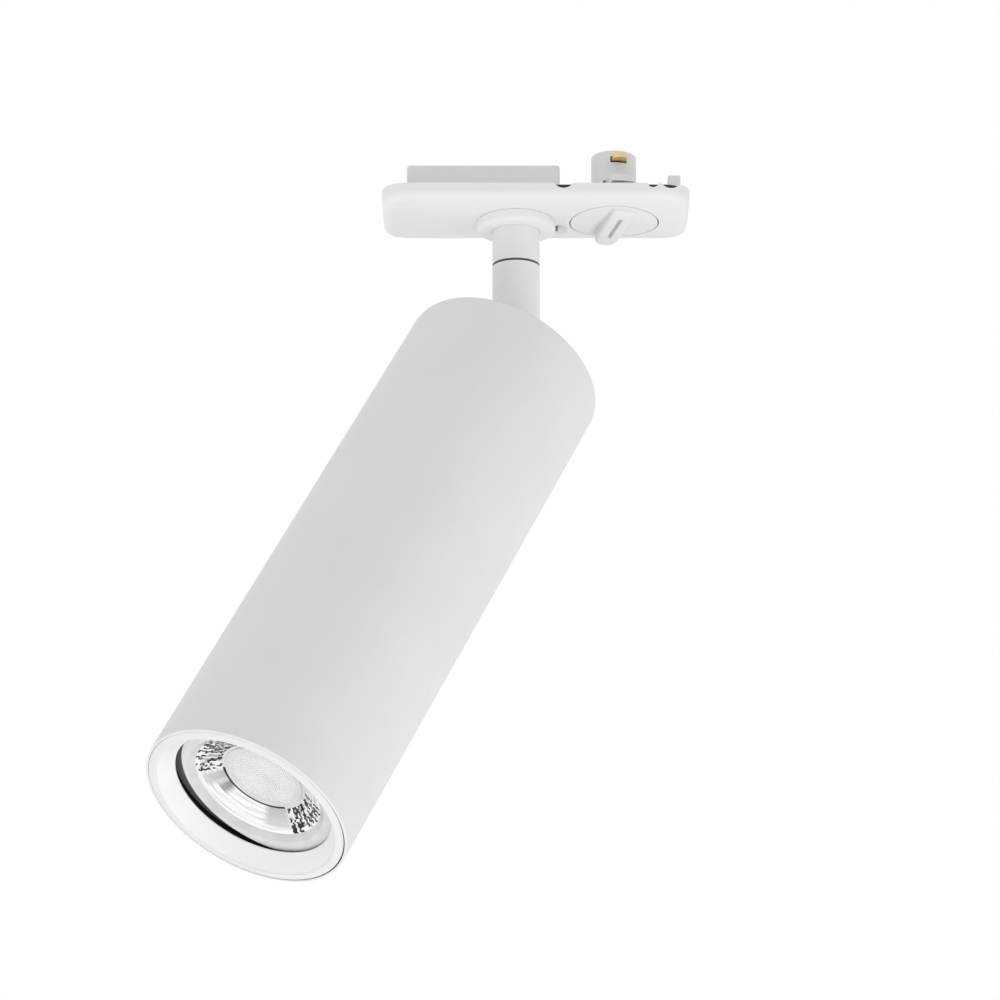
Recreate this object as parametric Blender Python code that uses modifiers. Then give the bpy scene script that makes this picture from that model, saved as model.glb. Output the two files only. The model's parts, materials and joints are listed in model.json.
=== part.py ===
"""Track spotlight: a cylindrical LED head on a swivel stem, hung from a latching track adapter.

The origin is the point where the stem's axis meets the adapter's seat face. X runs along the track,
Y across it, Z up. All lengths are metres and all angles degrees.
"""

import math

import bmesh
import bpy
from mathutils import Matrix, Vector

# Fits
GAP = 0.0003
DIAL_GAP = 0.00035
SEAM_GAP = 0.0005

# Pose in which the lamp is modelled
PAN = 45.79
TILT = 34.38
LATCH_TURN = 12.0

# Adapter housing and cover
ADAPTER_LEFT = 0.03665
ADAPTER_RIGHT = 0.0474
ADAPTER_WIDTH = 0.0336
ADAPTER_DEPTH = 0.0057
ADAPTER_CORNER = 0.0070
UNDERSIDE_SAG = 0.0011
UNDERSIDE_EDGE = 0.0026
RIM_WALL = 0.0010
LEDGE = 0.0012
FLOOR = 0.0020
COVER_THICKNESS = 0.0016
TONGUE_WIDTH = 0.0134
TONGUE_HEIGHT = 0.0090
TONGUE_LEFT = 0.0300
TONGUE_RIGHT = 0.0120
TONGUE_WALL = 0.0012
TONGUE_EDGE = 0.0008
GUIDE_LENGTH = 0.0035
GUIDE_HEIGHT = 0.0060
# Rim notches as (place along the track, half width, depth)
NOTCHES = ((0.0128, 0.0019, 0.0012), (0.0372, 0.0011, 0.0010), (0.0416, 0.0018, 0.0012))
KEY_BLOCK_LENGTH = 0.0029
KEY_BLOCK_WIDTH = 0.0040
KEY_BLOCK_BACK = 0.0065
KEY_BLOCK_HEIGHT = 0.0021
KEY_SLIT = 0.0006
COVER_SCREW_INSET_X = 0.0046
COVER_SCREW_INSET_Y = 0.0053
COVER_SCREW_RADIUS = 0.0011
COVER_SCREW_HEAD = 0.0022
COVER_SCREW_BITE = 0.0020
SCREW_BOSS_WALL = 0.0012
EARTH_SPRING_LENGTH = 0.0150
EARTH_SPRING_WIDTH = 0.0045
EARTH_SPRING_BULGE = 0.0020
EARTH_SPRING_THICKNESS = 0.0005
TERMINAL_LENGTH = 0.0160
TERMINAL_HEIGHT = 0.0055
TERMINAL_HOLE = 0.0014
LEAD_RADIUS = 0.0007
LEAD_BUNDLE_RADIUS = 0.0011

# Latch
DIAL_OFFSET = 0.0270
DIAL_DIAMETER = 0.0240
DIAL_FLANGE = 0.0013
LEVER_WIDTH = 0.0065
LEVER_LENGTH = 0.0204
LEVER_HEIGHT = 0.0032
LEVER_LOW_END = 0.0014
LEVER_EDGE = 0.0008
LEVER_SLOT_LENGTH = 0.0115
LEVER_SLOT_WIDTH = 0.0015
LEVER_SLOT_DEPTH = 0.0010
LEVER_SLOT_SHIFT = 0.0020
HUB_RADIUS = 0.0036
HUB_HEIGHT = 0.0034
COLUMN_DIAMETER = 0.0124
COLUMN_TOP = 0.0135
LIP_SPACE = 0.0023
WING_SPAN = 0.0244
WING_WIDTH = 0.0076
WING_THICKNESS = 0.0022
CONTACT_REACH = 0.0096
CONTACT_WIDTH = 0.0040
CONTACT_THICKNESS = 0.0012
LIVE_HEIGHT = 0.0074
NEUTRAL_HEIGHT = 0.0102
ROTOR_SCREW_RADIUS = 0.0014
ROTOR_SCREW_HEAD = 0.0026

# Stem and swivel
FLANGE_DIAMETER = 0.0217
FLANGE_DROP = 0.0024
FLANGE_EDGE = 0.0013
FLANGE_SOCKET = 0.0012
STEM_DIAMETER = 0.0130
SEAM_DROP = 0.0180
NIPPLE_RADIUS = 0.0035
NIPPLE_WALL = 0.0012
NIPPLE_RISE = 0.0012
LOCKNUT_RADIUS = 0.0049
LOCKNUT_HEIGHT = 0.0022
WASHER_THICKNESS = 0.0006
NIPPLE_WASHER_RADIUS = 0.0058
SHOULDER_HEIGHT = 0.0030
SWIVEL_BORE = 0.0052
SWIVEL_NUT_HEIGHT = 0.0034
NIPPLE_TAIL = 0.0010
PIVOT_DROP = 0.0424
STEM_NECK = 0.0080
TONGUE_THICKNESS = 0.0060
LEAD_EXIT_RADIUS = 0.0025
LEAD_EXIT_DROP = 0.0285
GROMMET_LIP = 0.0008

# Hinge
PIVOT_TO_BACK = 0.0092
EAR_THICKNESS = 0.0032
EAR_RADIUS = 0.0048
HINGE_WASHER_THICKNESS = 0.0008
HINGE_WASHER_RADIUS = 0.0046
HINGE_BOLT_RADIUS = 0.0020
HINGE_HEAD_RADIUS = 0.0038
HINGE_HEAD_HEIGHT = 0.0026
HINGE_NUT_RADIUS = 0.0040
HINGE_NUT_HEIGHT = 0.0030
YOKE_CLEARANCE = 0.0011
STOP_WEB = 0.0015
STOP_WEB_HEIGHT = 0.0030
YOKE_SCREW_SPACING = 0.0100
SCREW_RADIUS = 0.0015
SCREW_HEAD_RADIUS = 0.0027
SCREW_HEAD_HEIGHT = 0.0017

# Head shell
TUBE_DIAMETER = 0.0550
HEAD_LENGTH = 0.1615
TUBE_WALL = 0.0016
BEZEL_PROUD = 0.0004
FRONT_RIM_WALL = 0.00085
BEZEL_SEAT = 0.0033
BEZEL_EDGE = 0.0007
BEZEL_LIP = 0.0021
BEZEL_MOUTH = 0.0427
BEZEL_DEPTH = 0.0051
BEZEL_SKIRT = 0.0090
BEZEL_SKIRT_WALL = 0.0017
REAR_RIM_WALL = 0.0010
REAR_EDGE = 0.0009
REAR_RECESS = 0.0027
REAR_CAP_THICKNESS = 0.0030
CAP_SCREWS = 3
MOUNT_RING_WIDTH = 0.0052
MOUNT_RING_HEIGHT = 0.0060
MOUNT_RING_DROP = 0.0033
CABLE_HOLE_RADIUS = 0.0032
CABLE_HOLE_OFFSET = 0.0145
CABLE_BORE_RADIUS = 0.0023

# Optics
LENS_DIAMETER = 0.0452
LENS_SETBACK = 0.0006
LENS_FLANGE = 0.0016
# Shallow crescent cut from the flange to lift the lens out by: radius of its edge, shift and direction
LIFT_RADIUS = 0.0240
LIFT_SHIFT = 0.0047
LIFT_SIDE = 95
SHOULDER_DIAMETER = 0.0378
SHOULDER_DEPTH = 0.0017
BOWL_DIAMETER = 0.0343
BOWL_FLOOR_DIAMETER = 0.0224
BOWL_DEPTH = 0.0032
BOWL_ROWS = 4
BOWL_CURVE = 1.15
BOWL_FACETS = 36
LENS_CONE_FRONT = 0.0184
LENS_CONE_REAR = 0.0082
LENS_CONE_LENGTH = 0.0137
LENS_POCKET_RADIUS = 0.0062
LENS_POCKET_DEPTH = 0.0060
HOLDER_WALL = 0.0016
HOLDER_RIM = 0.0016
HOLDER_FOOT = 0.0013
LED_RECESS = 0.0016

# Light engine
LED_SIZE = 0.0190
LED_THICKNESS = 0.0010
PHOSPHOR_RADIUS = 0.0056
PHOSPHOR_HEIGHT = 0.0007
PAD_THICKNESS = 0.0005
LED_HOLDER_RADIUS = 0.0170
LED_HOLDER_WINDOW = 0.0074
LED_HOLDER_FRONT = 0.0014
HOLDER_SCREW_OFFSET = 0.0136
HOLDER_SCREW_BITE = 0.0048
SINK_BASE = 0.0060
SINK_CORE_RADIUS = 0.0080
SINK_FINS = 12
FIN_THICKNESS = 0.0016
FIN_INSET = 0.0008
LED_LEAD_OFFSET = 0.0022
LED_LEAD_CIRCLE = 0.0203
BRACKET_THICKNESS = 0.0015
BRACKET_WIDTH = 0.0160
BRACKET_LENGTH = 0.0420
BRACKET_SCREW_HEIGHT = 0.0320
BRACKET_SCREW_LENGTH = 0.0080
DRIVER_STANDOFF = 0.0062
DRIVER_HEADROOM = 0.0174
DRIVER_WIDTH = 0.0320
DRIVER_DEPTH = 0.0240
DRIVER_LENGTH = 0.0660
DRIVER_EDGE = 0.0015
DRIVER_TERMINAL_WIDTH = 0.0120
DRIVER_TERMINAL_DEPTH = 0.0070
DRIVER_TERMINAL_HEIGHT = 0.0050

# Finishes as (colour, roughness, metallic)
WHITE_PAINT = ((0.83, 0.83, 0.83), 0.45, 0.0)
WHITE_PLASTIC = ((0.85, 0.85, 0.85), 0.40, 0.0)
BLACK_PLASTIC = ((0.03, 0.03, 0.03), 0.50, 0.0)
STEEL = ((0.60, 0.60, 0.61), 0.30, 1.0)
BRASS = ((0.80, 0.60, 0.28), 0.30, 1.0)
ALUMINIUM = ((0.75, 0.76, 0.77), 0.40, 1.0)
RUBBER = ((0.05, 0.05, 0.05), 0.80, 0.0)
CLEAR = ((0.90, 0.91, 0.92), 0.08, 0.0)
CERAMIC = ((0.90, 0.88, 0.82), 0.50, 0.0)
PHOSPHOR = ((0.90, 0.72, 0.20), 0.50, 0.0)
PAD_GREY = ((0.35, 0.36, 0.38), 0.80, 0.0)
LEAD_BROWN = ((0.30, 0.14, 0.06), 0.50, 0.0)
LEAD_BLUE = ((0.06, 0.16, 0.50), 0.50, 0.0)
LEAD_GREEN = ((0.25, 0.45, 0.10), 0.50, 0.0)
LEAD_RED = ((0.60, 0.04, 0.03), 0.50, 0.0)
LEAD_BLACK = ((0.02, 0.02, 0.02), 0.50, 0.0)

FINE = 42
MEDIUM = 24
COARSE = 10
ARC_STEPS = 6
LEAD_STEPS = 2
SHARP = math.radians(35)
OVERCUT = 0.002

for old in list(bpy.data.objects):
    bpy.data.objects.remove(old, do_unlink=True)
parts = bpy.data.collections.new("track_spotlight")
cutters = bpy.data.collections.new("cutters")
bpy.context.scene.collection.children.link(parts)
bpy.context.scene.collection.children.link(cutters)


def axis_empty(name, parent=None, at=(0, 0, 0), turn=(0, 0, 0)):
    """An empty that stands on a joint's axis and carries what moves with it."""
    empty = bpy.data.objects.new(name, None)
    empty.parent = parent
    empty.location = at
    empty.rotation_euler = [math.radians(angle) for angle in turn]
    parts.objects.link(empty)
    return empty


def add(name, mesh, finish, parent=None, at=(0, 0, 0), turn=(0, 0, 0)):
    """A named object with its own material, or a cutter where the finish is None."""
    piece = bpy.data.objects.new(name, mesh)
    piece.parent = parent
    piece.location = at
    piece.rotation_euler = [math.radians(angle) for angle in turn]
    if finish is None:
        cutters.objects.link(piece)
        piece.hide_render = True
        piece.display_type = "WIRE"
        return piece
    parts.objects.link(piece)
    colour, roughness, metallic = finish
    paint = bpy.data.materials.new(name)
    paint.use_nodes = True
    shader = paint.node_tree.nodes["Principled BSDF"]
    shader.inputs["Base Color"].default_value = (*colour, 1.0)
    shader.inputs["Roughness"].default_value = roughness
    shader.inputs["Metallic"].default_value = metallic
    mesh.materials.append(paint)
    return piece


def smooth(mesh):
    mesh.shade_smooth()
    mesh.set_sharp_from_angle(angle=SHARP)


def turned(name, profile, finish, segments=MEDIUM, **place):
    """A (radius, height) profile, listed down its outer side, turned about Z."""
    mesh = bpy.data.meshes.new(name)
    ring = profile[0][0] > 0 and profile[-1][0] > 0
    edges = [(i, i + 1) for i in range(len(profile) - 1)]
    if ring:
        edges.append((len(profile) - 1, 0))
    mesh.from_pydata([(r, 0, z) for r, z in profile], edges, [])
    piece = add(name, mesh, finish, **place)
    screw = piece.modifiers.new("turn", "SCREW")
    screw.steps = screw.render_steps = segments
    screw.use_merge_vertices = True
    screw.merge_threshold = 1e-6
    screw.use_smooth_shade = True
    return piece


def arc(centre, radius, start, end, steps=ARC_STEPS):
    """Points of an arc in a plane, from one angle in degrees to another."""
    angles = [math.radians(start + (end - start) * i / steps) for i in range(steps + 1)]
    return [(centre[0] + radius * math.cos(a), centre[1] + radius * math.sin(a)) for a in angles]


def drum(name, radius, low, high, finish=None, segments=MEDIUM, **place):
    """A plain cylinder along Z between two heights."""
    bm = bmesh.new()
    middle = Matrix.Translation((0, 0, (low + high) / 2))
    bmesh.ops.create_cone(bm, cap_ends=True, segments=segments, radius1=radius, radius2=radius,
                          depth=high - low, matrix=middle)
    return from_bmesh(name, bm, finish, **place)


def block(name, low, high, finish=None, **place):
    """A box between two opposite corners."""
    low, high = Vector(low), Vector(high)
    size = Matrix.Diagonal((*(high - low), 1))
    bm = bmesh.new()
    bmesh.ops.create_cube(bm, size=1, matrix=Matrix.Translation((low + high) / 2) @ size)
    return from_bmesh(name, bm, finish, **place)


def from_bmesh(name, bm, finish, **place):
    mesh = bpy.data.meshes.new(name)
    bm.to_mesh(mesh)
    bm.free()
    smooth(mesh)
    return add(name, mesh, finish, **place)


def curve_mesh(name, curve):
    """The mesh of a curve, its caps welded to its sides."""
    guide = bpy.data.objects.new(name, curve)
    cutters.objects.link(guide)
    mesh = bpy.data.meshes.new_from_object(guide.evaluated_get(bpy.context.evaluated_depsgraph_get()))
    bpy.data.objects.remove(guide, do_unlink=True)
    mesh.name = name
    bm = bmesh.new()
    bm.from_mesh(mesh)
    bmesh.ops.remove_doubles(bm, verts=bm.verts, dist=1e-6)
    bmesh.ops.recalc_face_normals(bm, faces=bm.faces)
    bm.to_mesh(mesh)
    bm.free()
    smooth(mesh)
    return mesh


def spline(curve, points, closed):
    line = curve.splines.new("POLY")
    line.points.add(len(points) - 1)
    for knot, point in zip(line.points, points):
        knot.co = (*point, *[0] * (3 - len(point)), 1)
    line.use_cyclic_u = closed


def slab(name, loops, low, high, finish=None, frame=Matrix(), **place):
    """Flat outlines, the first with the others as holes, thickened along Z from low to high."""
    curve = bpy.data.curves.new(name, "CURVE")
    curve.dimensions = "2D"
    curve.fill_mode = "BOTH"
    curve.extrude = (high - low) / 2
    for loop in loops:
        spline(curve, loop, True)
    mesh = curve_mesh(name, curve)
    mesh.transform(frame @ Matrix.Translation((0, 0, (low + high) / 2)))
    return add(name, mesh, finish, **place)


def lead(name, points, finish, radius=LEAD_RADIUS, **place):
    """An insulated wire along a smooth curve through its points."""
    path = [Vector(point) for point in points]
    ends = [path[0] * 2 - path[1], *path, path[-1] * 2 - path[-2]]
    route = []
    for before, here, there, after in zip(ends, ends[1:], ends[2:], ends[3:]):
        for i in range(LEAD_STEPS):
            t = i / LEAD_STEPS
            bend = here * 2 + (there - before) * t
            bend += (before * 2 - here * 5 + there * 4 - after) * t ** 2
            bend += (here * 3 - before - there * 3 + after) * t ** 3
            route.append(bend / 2)
    route.append(path[-1])
    curve = bpy.data.curves.new(name, "CURVE")
    curve.dimensions = "3D"
    curve.bevel_depth = radius
    curve.bevel_resolution = 2
    curve.use_fill_caps = True
    spline(curve, route, False)
    return add(name, curve_mesh(name, curve), finish, **place)


def combine(piece, operation, *tools):
    for tool in tools:
        step = piece.modifiers.new(tool.name, "BOOLEAN")
        step.operation = operation
        step.object = tool
    return piece


def cut(piece, *tools):
    return combine(piece, "DIFFERENCE", *tools)


def join(piece, *tools):
    return combine(piece, "UNION", *tools)


def round_edges(piece, width, segments=3):
    bevel = piece.modifiers.new("rounded edges", "BEVEL")
    bevel.width = width
    bevel.segments = segments
    bevel.limit_method = "ANGLE"
    bevel.angle_limit = SHARP
    return piece


def bake(piece):
    """Turns the piece's modifiers into plain mesh."""
    mesh = bpy.data.meshes.new_from_object(piece.evaluated_get(bpy.context.evaluated_depsgraph_get()))
    piece.modifiers.clear()
    piece.data = mesh
    return mesh


def rounded_box(left, right, near, far, radius):
    """Outline of a rectangle with round corners, counter-clockwise."""
    corners = ((right - radius, far - radius, 0), (left + radius, far - radius, 90),
               (left + radius, near + radius, 180), (right - radius, near + radius, 270))
    return [point for x, y, start in corners for point in arc((x, y), radius, start, start + 90)]


def circle(radius, centre=(0, 0), segments=MEDIUM):
    return arc(centre, radius, 0, 360 * (segments - 1) / segments, segments - 1)


def screw(name, head_radius, head_height, radius, length, finish=STEEL, **place):
    """A cap screw: its head stands on z = 0 and its shank hangs below."""
    recess = head_height / 2
    socket = head_radius / 2
    profile = [(0, head_height - recess), (socket, head_height - recess), (socket, head_height),
               (head_radius, head_height), (head_radius, 0), (radius, 0), (radius, -length), (0, -length)]
    return turned(name, profile, finish, segments=COARSE, **place)


def nut(name, radius, bore, low, high, finish=STEEL, **place):
    """A hexagon nut between two heights; radius is to its corners."""
    return slab(name, [circle(radius, segments=6), circle(bore, segments=COARSE)], low, high, finish, **place)


def washer(name, radius, bore, low, high, finish=STEEL, **place):
    return slab(name, [circle(radius, segments=MEDIUM), circle(bore, segments=COARSE)], low, high, finish,
                **place)


# Heights that several pieces share
underside = -ADAPTER_DEPTH
floor_top = underside + FLOOR
cover_under = -COVER_THICKNESS
half_width = ADAPTER_WIDTH / 2
arch_radius = (half_width ** 2 + UNDERSIDE_SAG ** 2) / (2 * UNDERSIDE_SAG)
rim_inset = RIM_WALL + GAP
wall = RIM_WALL + LEDGE
nipple_bore = NIPPLE_RADIUS - NIPPLE_WALL
flange_foot = underside - GAP - FLANGE_DROP
seam = -SEAM_DROP

# Joint axes
latch_axis = axis_empty("latch_axis", at=(DIAL_OFFSET, 0, 0), turn=(0, 0, LATCH_TURN))
pan_axis = axis_empty("pan_axis", turn=(0, 0, PAN))
tilt_axis = axis_empty("tilt_axis", pan_axis, (0, 0, -PIVOT_DROP), (0, TILT, 0))


def above_underside(name, lowered=0.0):
    """Everything above the arched underside, or above a copy of it lowered by a clearance."""
    reach = half_width + OVERCUT
    span = math.degrees(math.asin(reach / arch_radius))
    bottom = arc((0, underside + arch_radius), arch_radius + lowered, 270 - span, 270 + span, 14)
    outline = bottom + [(reach, ADAPTER_DEPTH), (-reach, ADAPTER_DEPTH)]
    along_track = Matrix(((0, 0, 1, 0), (1, 0, 0, 0), (0, 1, 0, 0), (0, 0, 0, 1)))
    return slab(name, [outline], -ADAPTER_LEFT - OVERCUT, ADAPTER_RIGHT + OVERCUT, frame=along_track)


def adapter_outline(inset):
    return rounded_box(-ADAPTER_LEFT + inset, ADAPTER_RIGHT - inset, -half_width + inset,
                       half_width - inset, ADAPTER_CORNER - inset)


def cover_screw_places():
    """Two corners across the diagonal of the cover."""
    left = -ADAPTER_LEFT + COVER_SCREW_INSET_X
    right = ADAPTER_RIGHT - COVER_SCREW_INSET_X
    side = half_width - COVER_SCREW_INSET_Y
    return (("left", left, -side), ("right", right, side))


def adapter_housing():
    """Shallow moulding with an arched underside, a rebated rim and openings for the dial and the stem."""
    housing = slab("adapter_housing", [adapter_outline(0)], underside - OVERCUT, ADAPTER_DEPTH / 2,
                   WHITE_PLASTIC)
    combine(housing, "INTERSECT", above_underside("housing_arch"))
    round_edges(housing, UNDERSIDE_EDGE)
    sky = block("above_seat", (-ADAPTER_LEFT - OVERCUT, -ADAPTER_WIDTH, 0),
                (ADAPTER_RIGHT + OVERCUT, ADAPTER_WIDTH, 2 * ADAPTER_DEPTH))
    rebate = slab("cover_rebate", [adapter_outline(RIM_WALL)], cover_under - GAP, OVERCUT)
    pocket = slab("housing_pocket", [adapter_outline(wall)], floor_top, OVERCUT)
    cut(housing, sky, rebate, pocket)
    key_left = math.sqrt((FLANGE_DIAMETER / 2) ** 2 - (KEY_BLOCK_BACK - KEY_BLOCK_WIDTH) ** 2) + KEY_SLIT
    key = block("flange_key", (key_left, KEY_BLOCK_BACK - KEY_BLOCK_WIDTH, underside - KEY_BLOCK_HEIGHT),
                (key_left + KEY_BLOCK_LENGTH, KEY_BLOCK_BACK, floor_top - FLOOR / 4))
    join(housing, key)
    for side, x, y in cover_screw_places():
        boss_radius = COVER_SCREW_RADIUS + GAP + SCREW_BOSS_WALL
        join(housing, drum(f"screw_boss_{side}", boss_radius, floor_top - FLOOR / 4, cover_under - 2 * GAP,
                           segments=COARSE, at=(x, y, 0)))
        hole_end = cover_under - COVER_SCREW_BITE - GAP
        cut(housing, drum(f"screw_bore_{side}", COVER_SCREW_RADIUS + GAP, hole_end, OVERCUT,
                          segments=COARSE, at=(x, y, 0)))
    dial_hole = drum("dial_hole", DIAL_DIAMETER / 2 + DIAL_GAP, underside - OVERCUT, OVERCUT, segments=FINE,
                     at=(DIAL_OFFSET, 0, 0))
    nipple_hole = drum("nipple_hole", NIPPLE_RADIUS + GAP, underside - OVERCUT, OVERCUT, segments=COARSE)
    cut(housing, dial_hole, nipple_hole)
    for i, (x, half, depth) in enumerate(NOTCHES):
        radius = (half ** 2 + depth ** 2) / (2 * depth)
        notch = drum(f"rim_notch_{i}", radius, half_width - 2 * wall, half_width + OVERCUT, segments=MEDIUM,
                     at=(x, 0, radius - depth), turn=(90, 0, 0))
        cut(housing, notch)
    return housing


def adapter_cover():
    """Insulating plate on the rim's ledge, with the hollow tongue and the guide that enter the track."""
    column_hole = circle(COLUMN_DIAMETER / 2 + 2 * GAP, (DIAL_OFFSET, 0))
    cover = slab("adapter_cover", [adapter_outline(rim_inset), column_hole], cover_under, 0, WHITE_PLASTIC)
    half = TONGUE_WIDTH / 2
    tongue = block("tongue", (-TONGUE_LEFT, -half, cover_under / 2), (TONGUE_RIGHT, half, TONGUE_HEIGHT))
    guide_right = ADAPTER_RIGHT - wall
    guide = block("guide", (guide_right - GUIDE_LENGTH, -half, cover_under / 2),
                  (guide_right, half, GUIDE_HEIGHT))
    join(cover, round_edges(tongue, TONGUE_EDGE, 2), guide)
    hollow = block("tongue_hollow", (-TONGUE_LEFT + TONGUE_WALL, -half + TONGUE_WALL, cover_under - OVERCUT),
                   (TONGUE_RIGHT - TONGUE_WALL, half - TONGUE_WALL, TONGUE_HEIGHT - TONGUE_WALL))
    cut(cover, hollow)
    for side, x, y in cover_screw_places():
        head, shank = COVER_SCREW_HEAD + GAP, COVER_SCREW_RADIUS + GAP
        sink = turned(f"countersink_{side}", [(0, OVERCUT), (head, OVERCUT), (head, -GAP / 2),
                      (shank, -GAP / 2 - head + shank), (shank, cover_under - OVERCUT),
                      (0, cover_under - OVERCUT)], None, segments=COARSE, at=(x, y, 0))
        cut(cover, sink)
    return cover


def cover_screws():
    for side, x, y in cover_screw_places():
        taper = COVER_SCREW_HEAD - COVER_SCREW_RADIUS
        profile = [(0, -GAP / 2), (COVER_SCREW_HEAD, -GAP / 2), (COVER_SCREW_RADIUS, -GAP / 2 - taper),
                   (COVER_SCREW_RADIUS, cover_under - COVER_SCREW_BITE),
                   (0, cover_under - COVER_SCREW_BITE)]
        turned(f"cover_screw_{side}", profile, STEEL, segments=COARSE, at=(x, y, 0))


def earth_spring():
    """Bowed strip on the tongue's far side that wipes the track's earth."""
    half = EARTH_SPRING_LENGTH / 2
    radius = (half ** 2 + EARTH_SPRING_BULGE ** 2) / (2 * EARTH_SPRING_BULGE)
    span = math.degrees(math.asin(half / radius))
    foot = TONGUE_WIDTH / 2 + GAP
    centre = (-TONGUE_LEFT / 2, foot + EARTH_SPRING_THICKNESS + EARTH_SPRING_BULGE - radius)
    outer = arc(centre, radius, 90 - span, 90 + span, 10)
    inner = arc(centre, radius - EARTH_SPRING_THICKNESS, 90 + span, 90 - span, 10)
    top = TONGUE_HEIGHT - 2 * TONGUE_EDGE
    slab("earth_spring", [outer + inner], top - EARTH_SPRING_WIDTH, top, BRASS)


def terminal_block():
    """Three-pole block under the tongue's roof, its screws reached from below."""
    half = TONGUE_WIDTH / 2 - TONGUE_WALL - GAP
    roof = TONGUE_HEIGHT - TONGUE_WALL - GAP
    left = -TONGUE_LEFT + TONGUE_WALL + GAP
    piece = block("terminal_block", (left, -half, roof - TERMINAL_HEIGHT),
                  (left + TERMINAL_LENGTH, half, roof), WHITE_PLASTIC)
    for i in range(3):
        x = left + TERMINAL_LENGTH * (i + 0.5) / 3
        cut(piece, drum(f"terminal_hole_{i}", TERMINAL_HOLE, roof - TERMINAL_HEIGHT - OVERCUT,
                        roof - TERMINAL_HEIGHT / 2, segments=COARSE, at=(x, 0, 0)))
    return left + TERMINAL_LENGTH, roof - TERMINAL_HEIGHT / 2


def supply_leads(start, height, end):
    """Three leads from the terminal block down the bore of the nipple."""
    ring = LEAD_BUNDLE_RADIUS
    finishes = (("live", LEAD_BROWN, 0), ("neutral", LEAD_BLUE, 120), ("earth", LEAD_GREEN, 240))
    for name, finish, angle in finishes:
        x = ring * math.cos(math.radians(angle))
        y = ring * math.sin(math.radians(angle))
        middle = (start + x) / 2
        points = [(start + GAP, 2 * y, height), (middle, 2 * y, height), (x, y, nipple_top),
                  (x, y, floor_top), (x, y, seam), (x, y, end)]
        lead(f"supply_lead_{name}", points, finish)


def stem_flange():
    """Rosette that closes the joint between the arched underside and the stem."""
    outer = FLANGE_DIAMETER / 2
    socket = STEM_DIAMETER / 2 + GAP
    profile = [(outer, floor_top)]
    profile += arc((outer - FLANGE_EDGE, flange_foot + FLANGE_EDGE), FLANGE_EDGE, 0, -90, 2)
    profile += [(socket, flange_foot), (socket, flange_foot + FLANGE_SOCKET),
                (NIPPLE_RADIUS + GAP, flange_foot + FLANGE_SOCKET), (NIPPLE_RADIUS + GAP, floor_top)]
    flange = turned("stem_flange", profile, WHITE_PAINT, segments=FINE)
    cut(flange, above_underside("flange_arch", GAP))


def stem_upper():
    top = flange_foot + FLANGE_SOCKET - GAP
    outer, bore = STEM_DIAMETER / 2, NIPPLE_RADIUS + GAP
    turned("stem_upper", [(outer, top), (outer, seam), (bore, seam), (bore, top)], WHITE_PAINT, segments=FINE)


# The lower stem hangs by its shoulder on the nut of the nipple
shoulder = seam - SEAM_GAP - SHOULDER_HEIGHT
swivel_washer_low = shoulder - GAP - WASHER_THICKNESS
swivel_nut_low = swivel_washer_low - GAP - SWIVEL_NUT_HEIGHT
nipple_end = swivel_nut_low - NIPPLE_TAIL
locknut_washer_top = floor_top + GAP + WASHER_THICKNESS
nipple_top = locknut_washer_top + GAP + LOCKNUT_HEIGHT + NIPPLE_RISE


def swivel_parts():
    bore = NIPPLE_RADIUS + GAP
    inner = nipple_bore
    turned("swivel_nipple", [(NIPPLE_RADIUS, nipple_top), (NIPPLE_RADIUS, nipple_end), (inner, nipple_end),
                             (inner, nipple_top)], STEEL, segments=COARSE)
    washer("nipple_washer", NIPPLE_WASHER_RADIUS, bore, floor_top + GAP, locknut_washer_top)
    nut("nipple_locknut", LOCKNUT_RADIUS, bore, locknut_washer_top + GAP,
        locknut_washer_top + GAP + LOCKNUT_HEIGHT, BRASS)
    nut("swivel_nut", SWIVEL_BORE - GAP, bore, swivel_nut_low, swivel_washer_low - GAP, BRASS)
    washer("friction_washer", SWIVEL_BORE - GAP, bore, swivel_washer_low, shoulder - GAP, BLACK_PLASTIC,
           parent=pan_axis)


def stem_lower():
    """Hollow stem that narrows to a round-ended tongue on the tilt axis."""
    outer = STEM_DIAMETER / 2
    top = seam - SEAM_GAP
    neck = -PIVOT_DROP + STEM_NECK
    bore_end = neck + outer / 2
    bore = NIPPLE_RADIUS + GAP
    profile = [(outer, top), (outer, neck), (0, neck), (0, bore_end), (SWIVEL_BORE, bore_end),
               (SWIVEL_BORE, shoulder), (bore, shoulder), (bore, top)]
    stem = turned("stem_lower", profile, WHITE_PAINT, segments=FINE, parent=pan_axis)
    lower = -PIVOT_DROP
    outline = [(outer, neck + outer / 4), (-outer, neck + outer / 4)]
    outline += arc((0, lower), outer, 180, 360, 16)
    upright = Matrix.Rotation(math.radians(90), 4, "X")
    half = TONGUE_THICKNESS / 2
    tongue = slab("stem_tongue", [outline], -half, half, frame=upright, parent=pan_axis)
    bolt_hole = drum("stem_bolt_hole", HINGE_BOLT_RADIUS + GAP, -outer, outer, segments=COARSE,
                     parent=pan_axis, at=(0, 0, lower), turn=(90, 0, 0))
    lead_exit = drum("lead_exit", LEAD_EXIT_RADIUS + GAP, 0, 2 * outer, segments=COARSE, parent=pan_axis,
                     at=(0, 0, -LEAD_EXIT_DROP), turn=(0, 90, 0))
    join(stem, tongue)
    cut(stem, bolt_hole, lead_exit)
    bush_bore = LEAD_EXIT_RADIUS - GROMMET_LIP
    face = math.sqrt(outer ** 2 - LEAD_EXIT_RADIUS ** 2)
    bush = [(LEAD_EXIT_RADIUS, face), (LEAD_EXIT_RADIUS, SWIVEL_BORE), (bush_bore, SWIVEL_BORE),
            (bush_bore, face)]
    turned("stem_grommet", bush, RUBBER, segments=COARSE, parent=pan_axis, at=(0, 0, -LEAD_EXIT_DROP),
           turn=(0, 90, 0))


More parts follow.
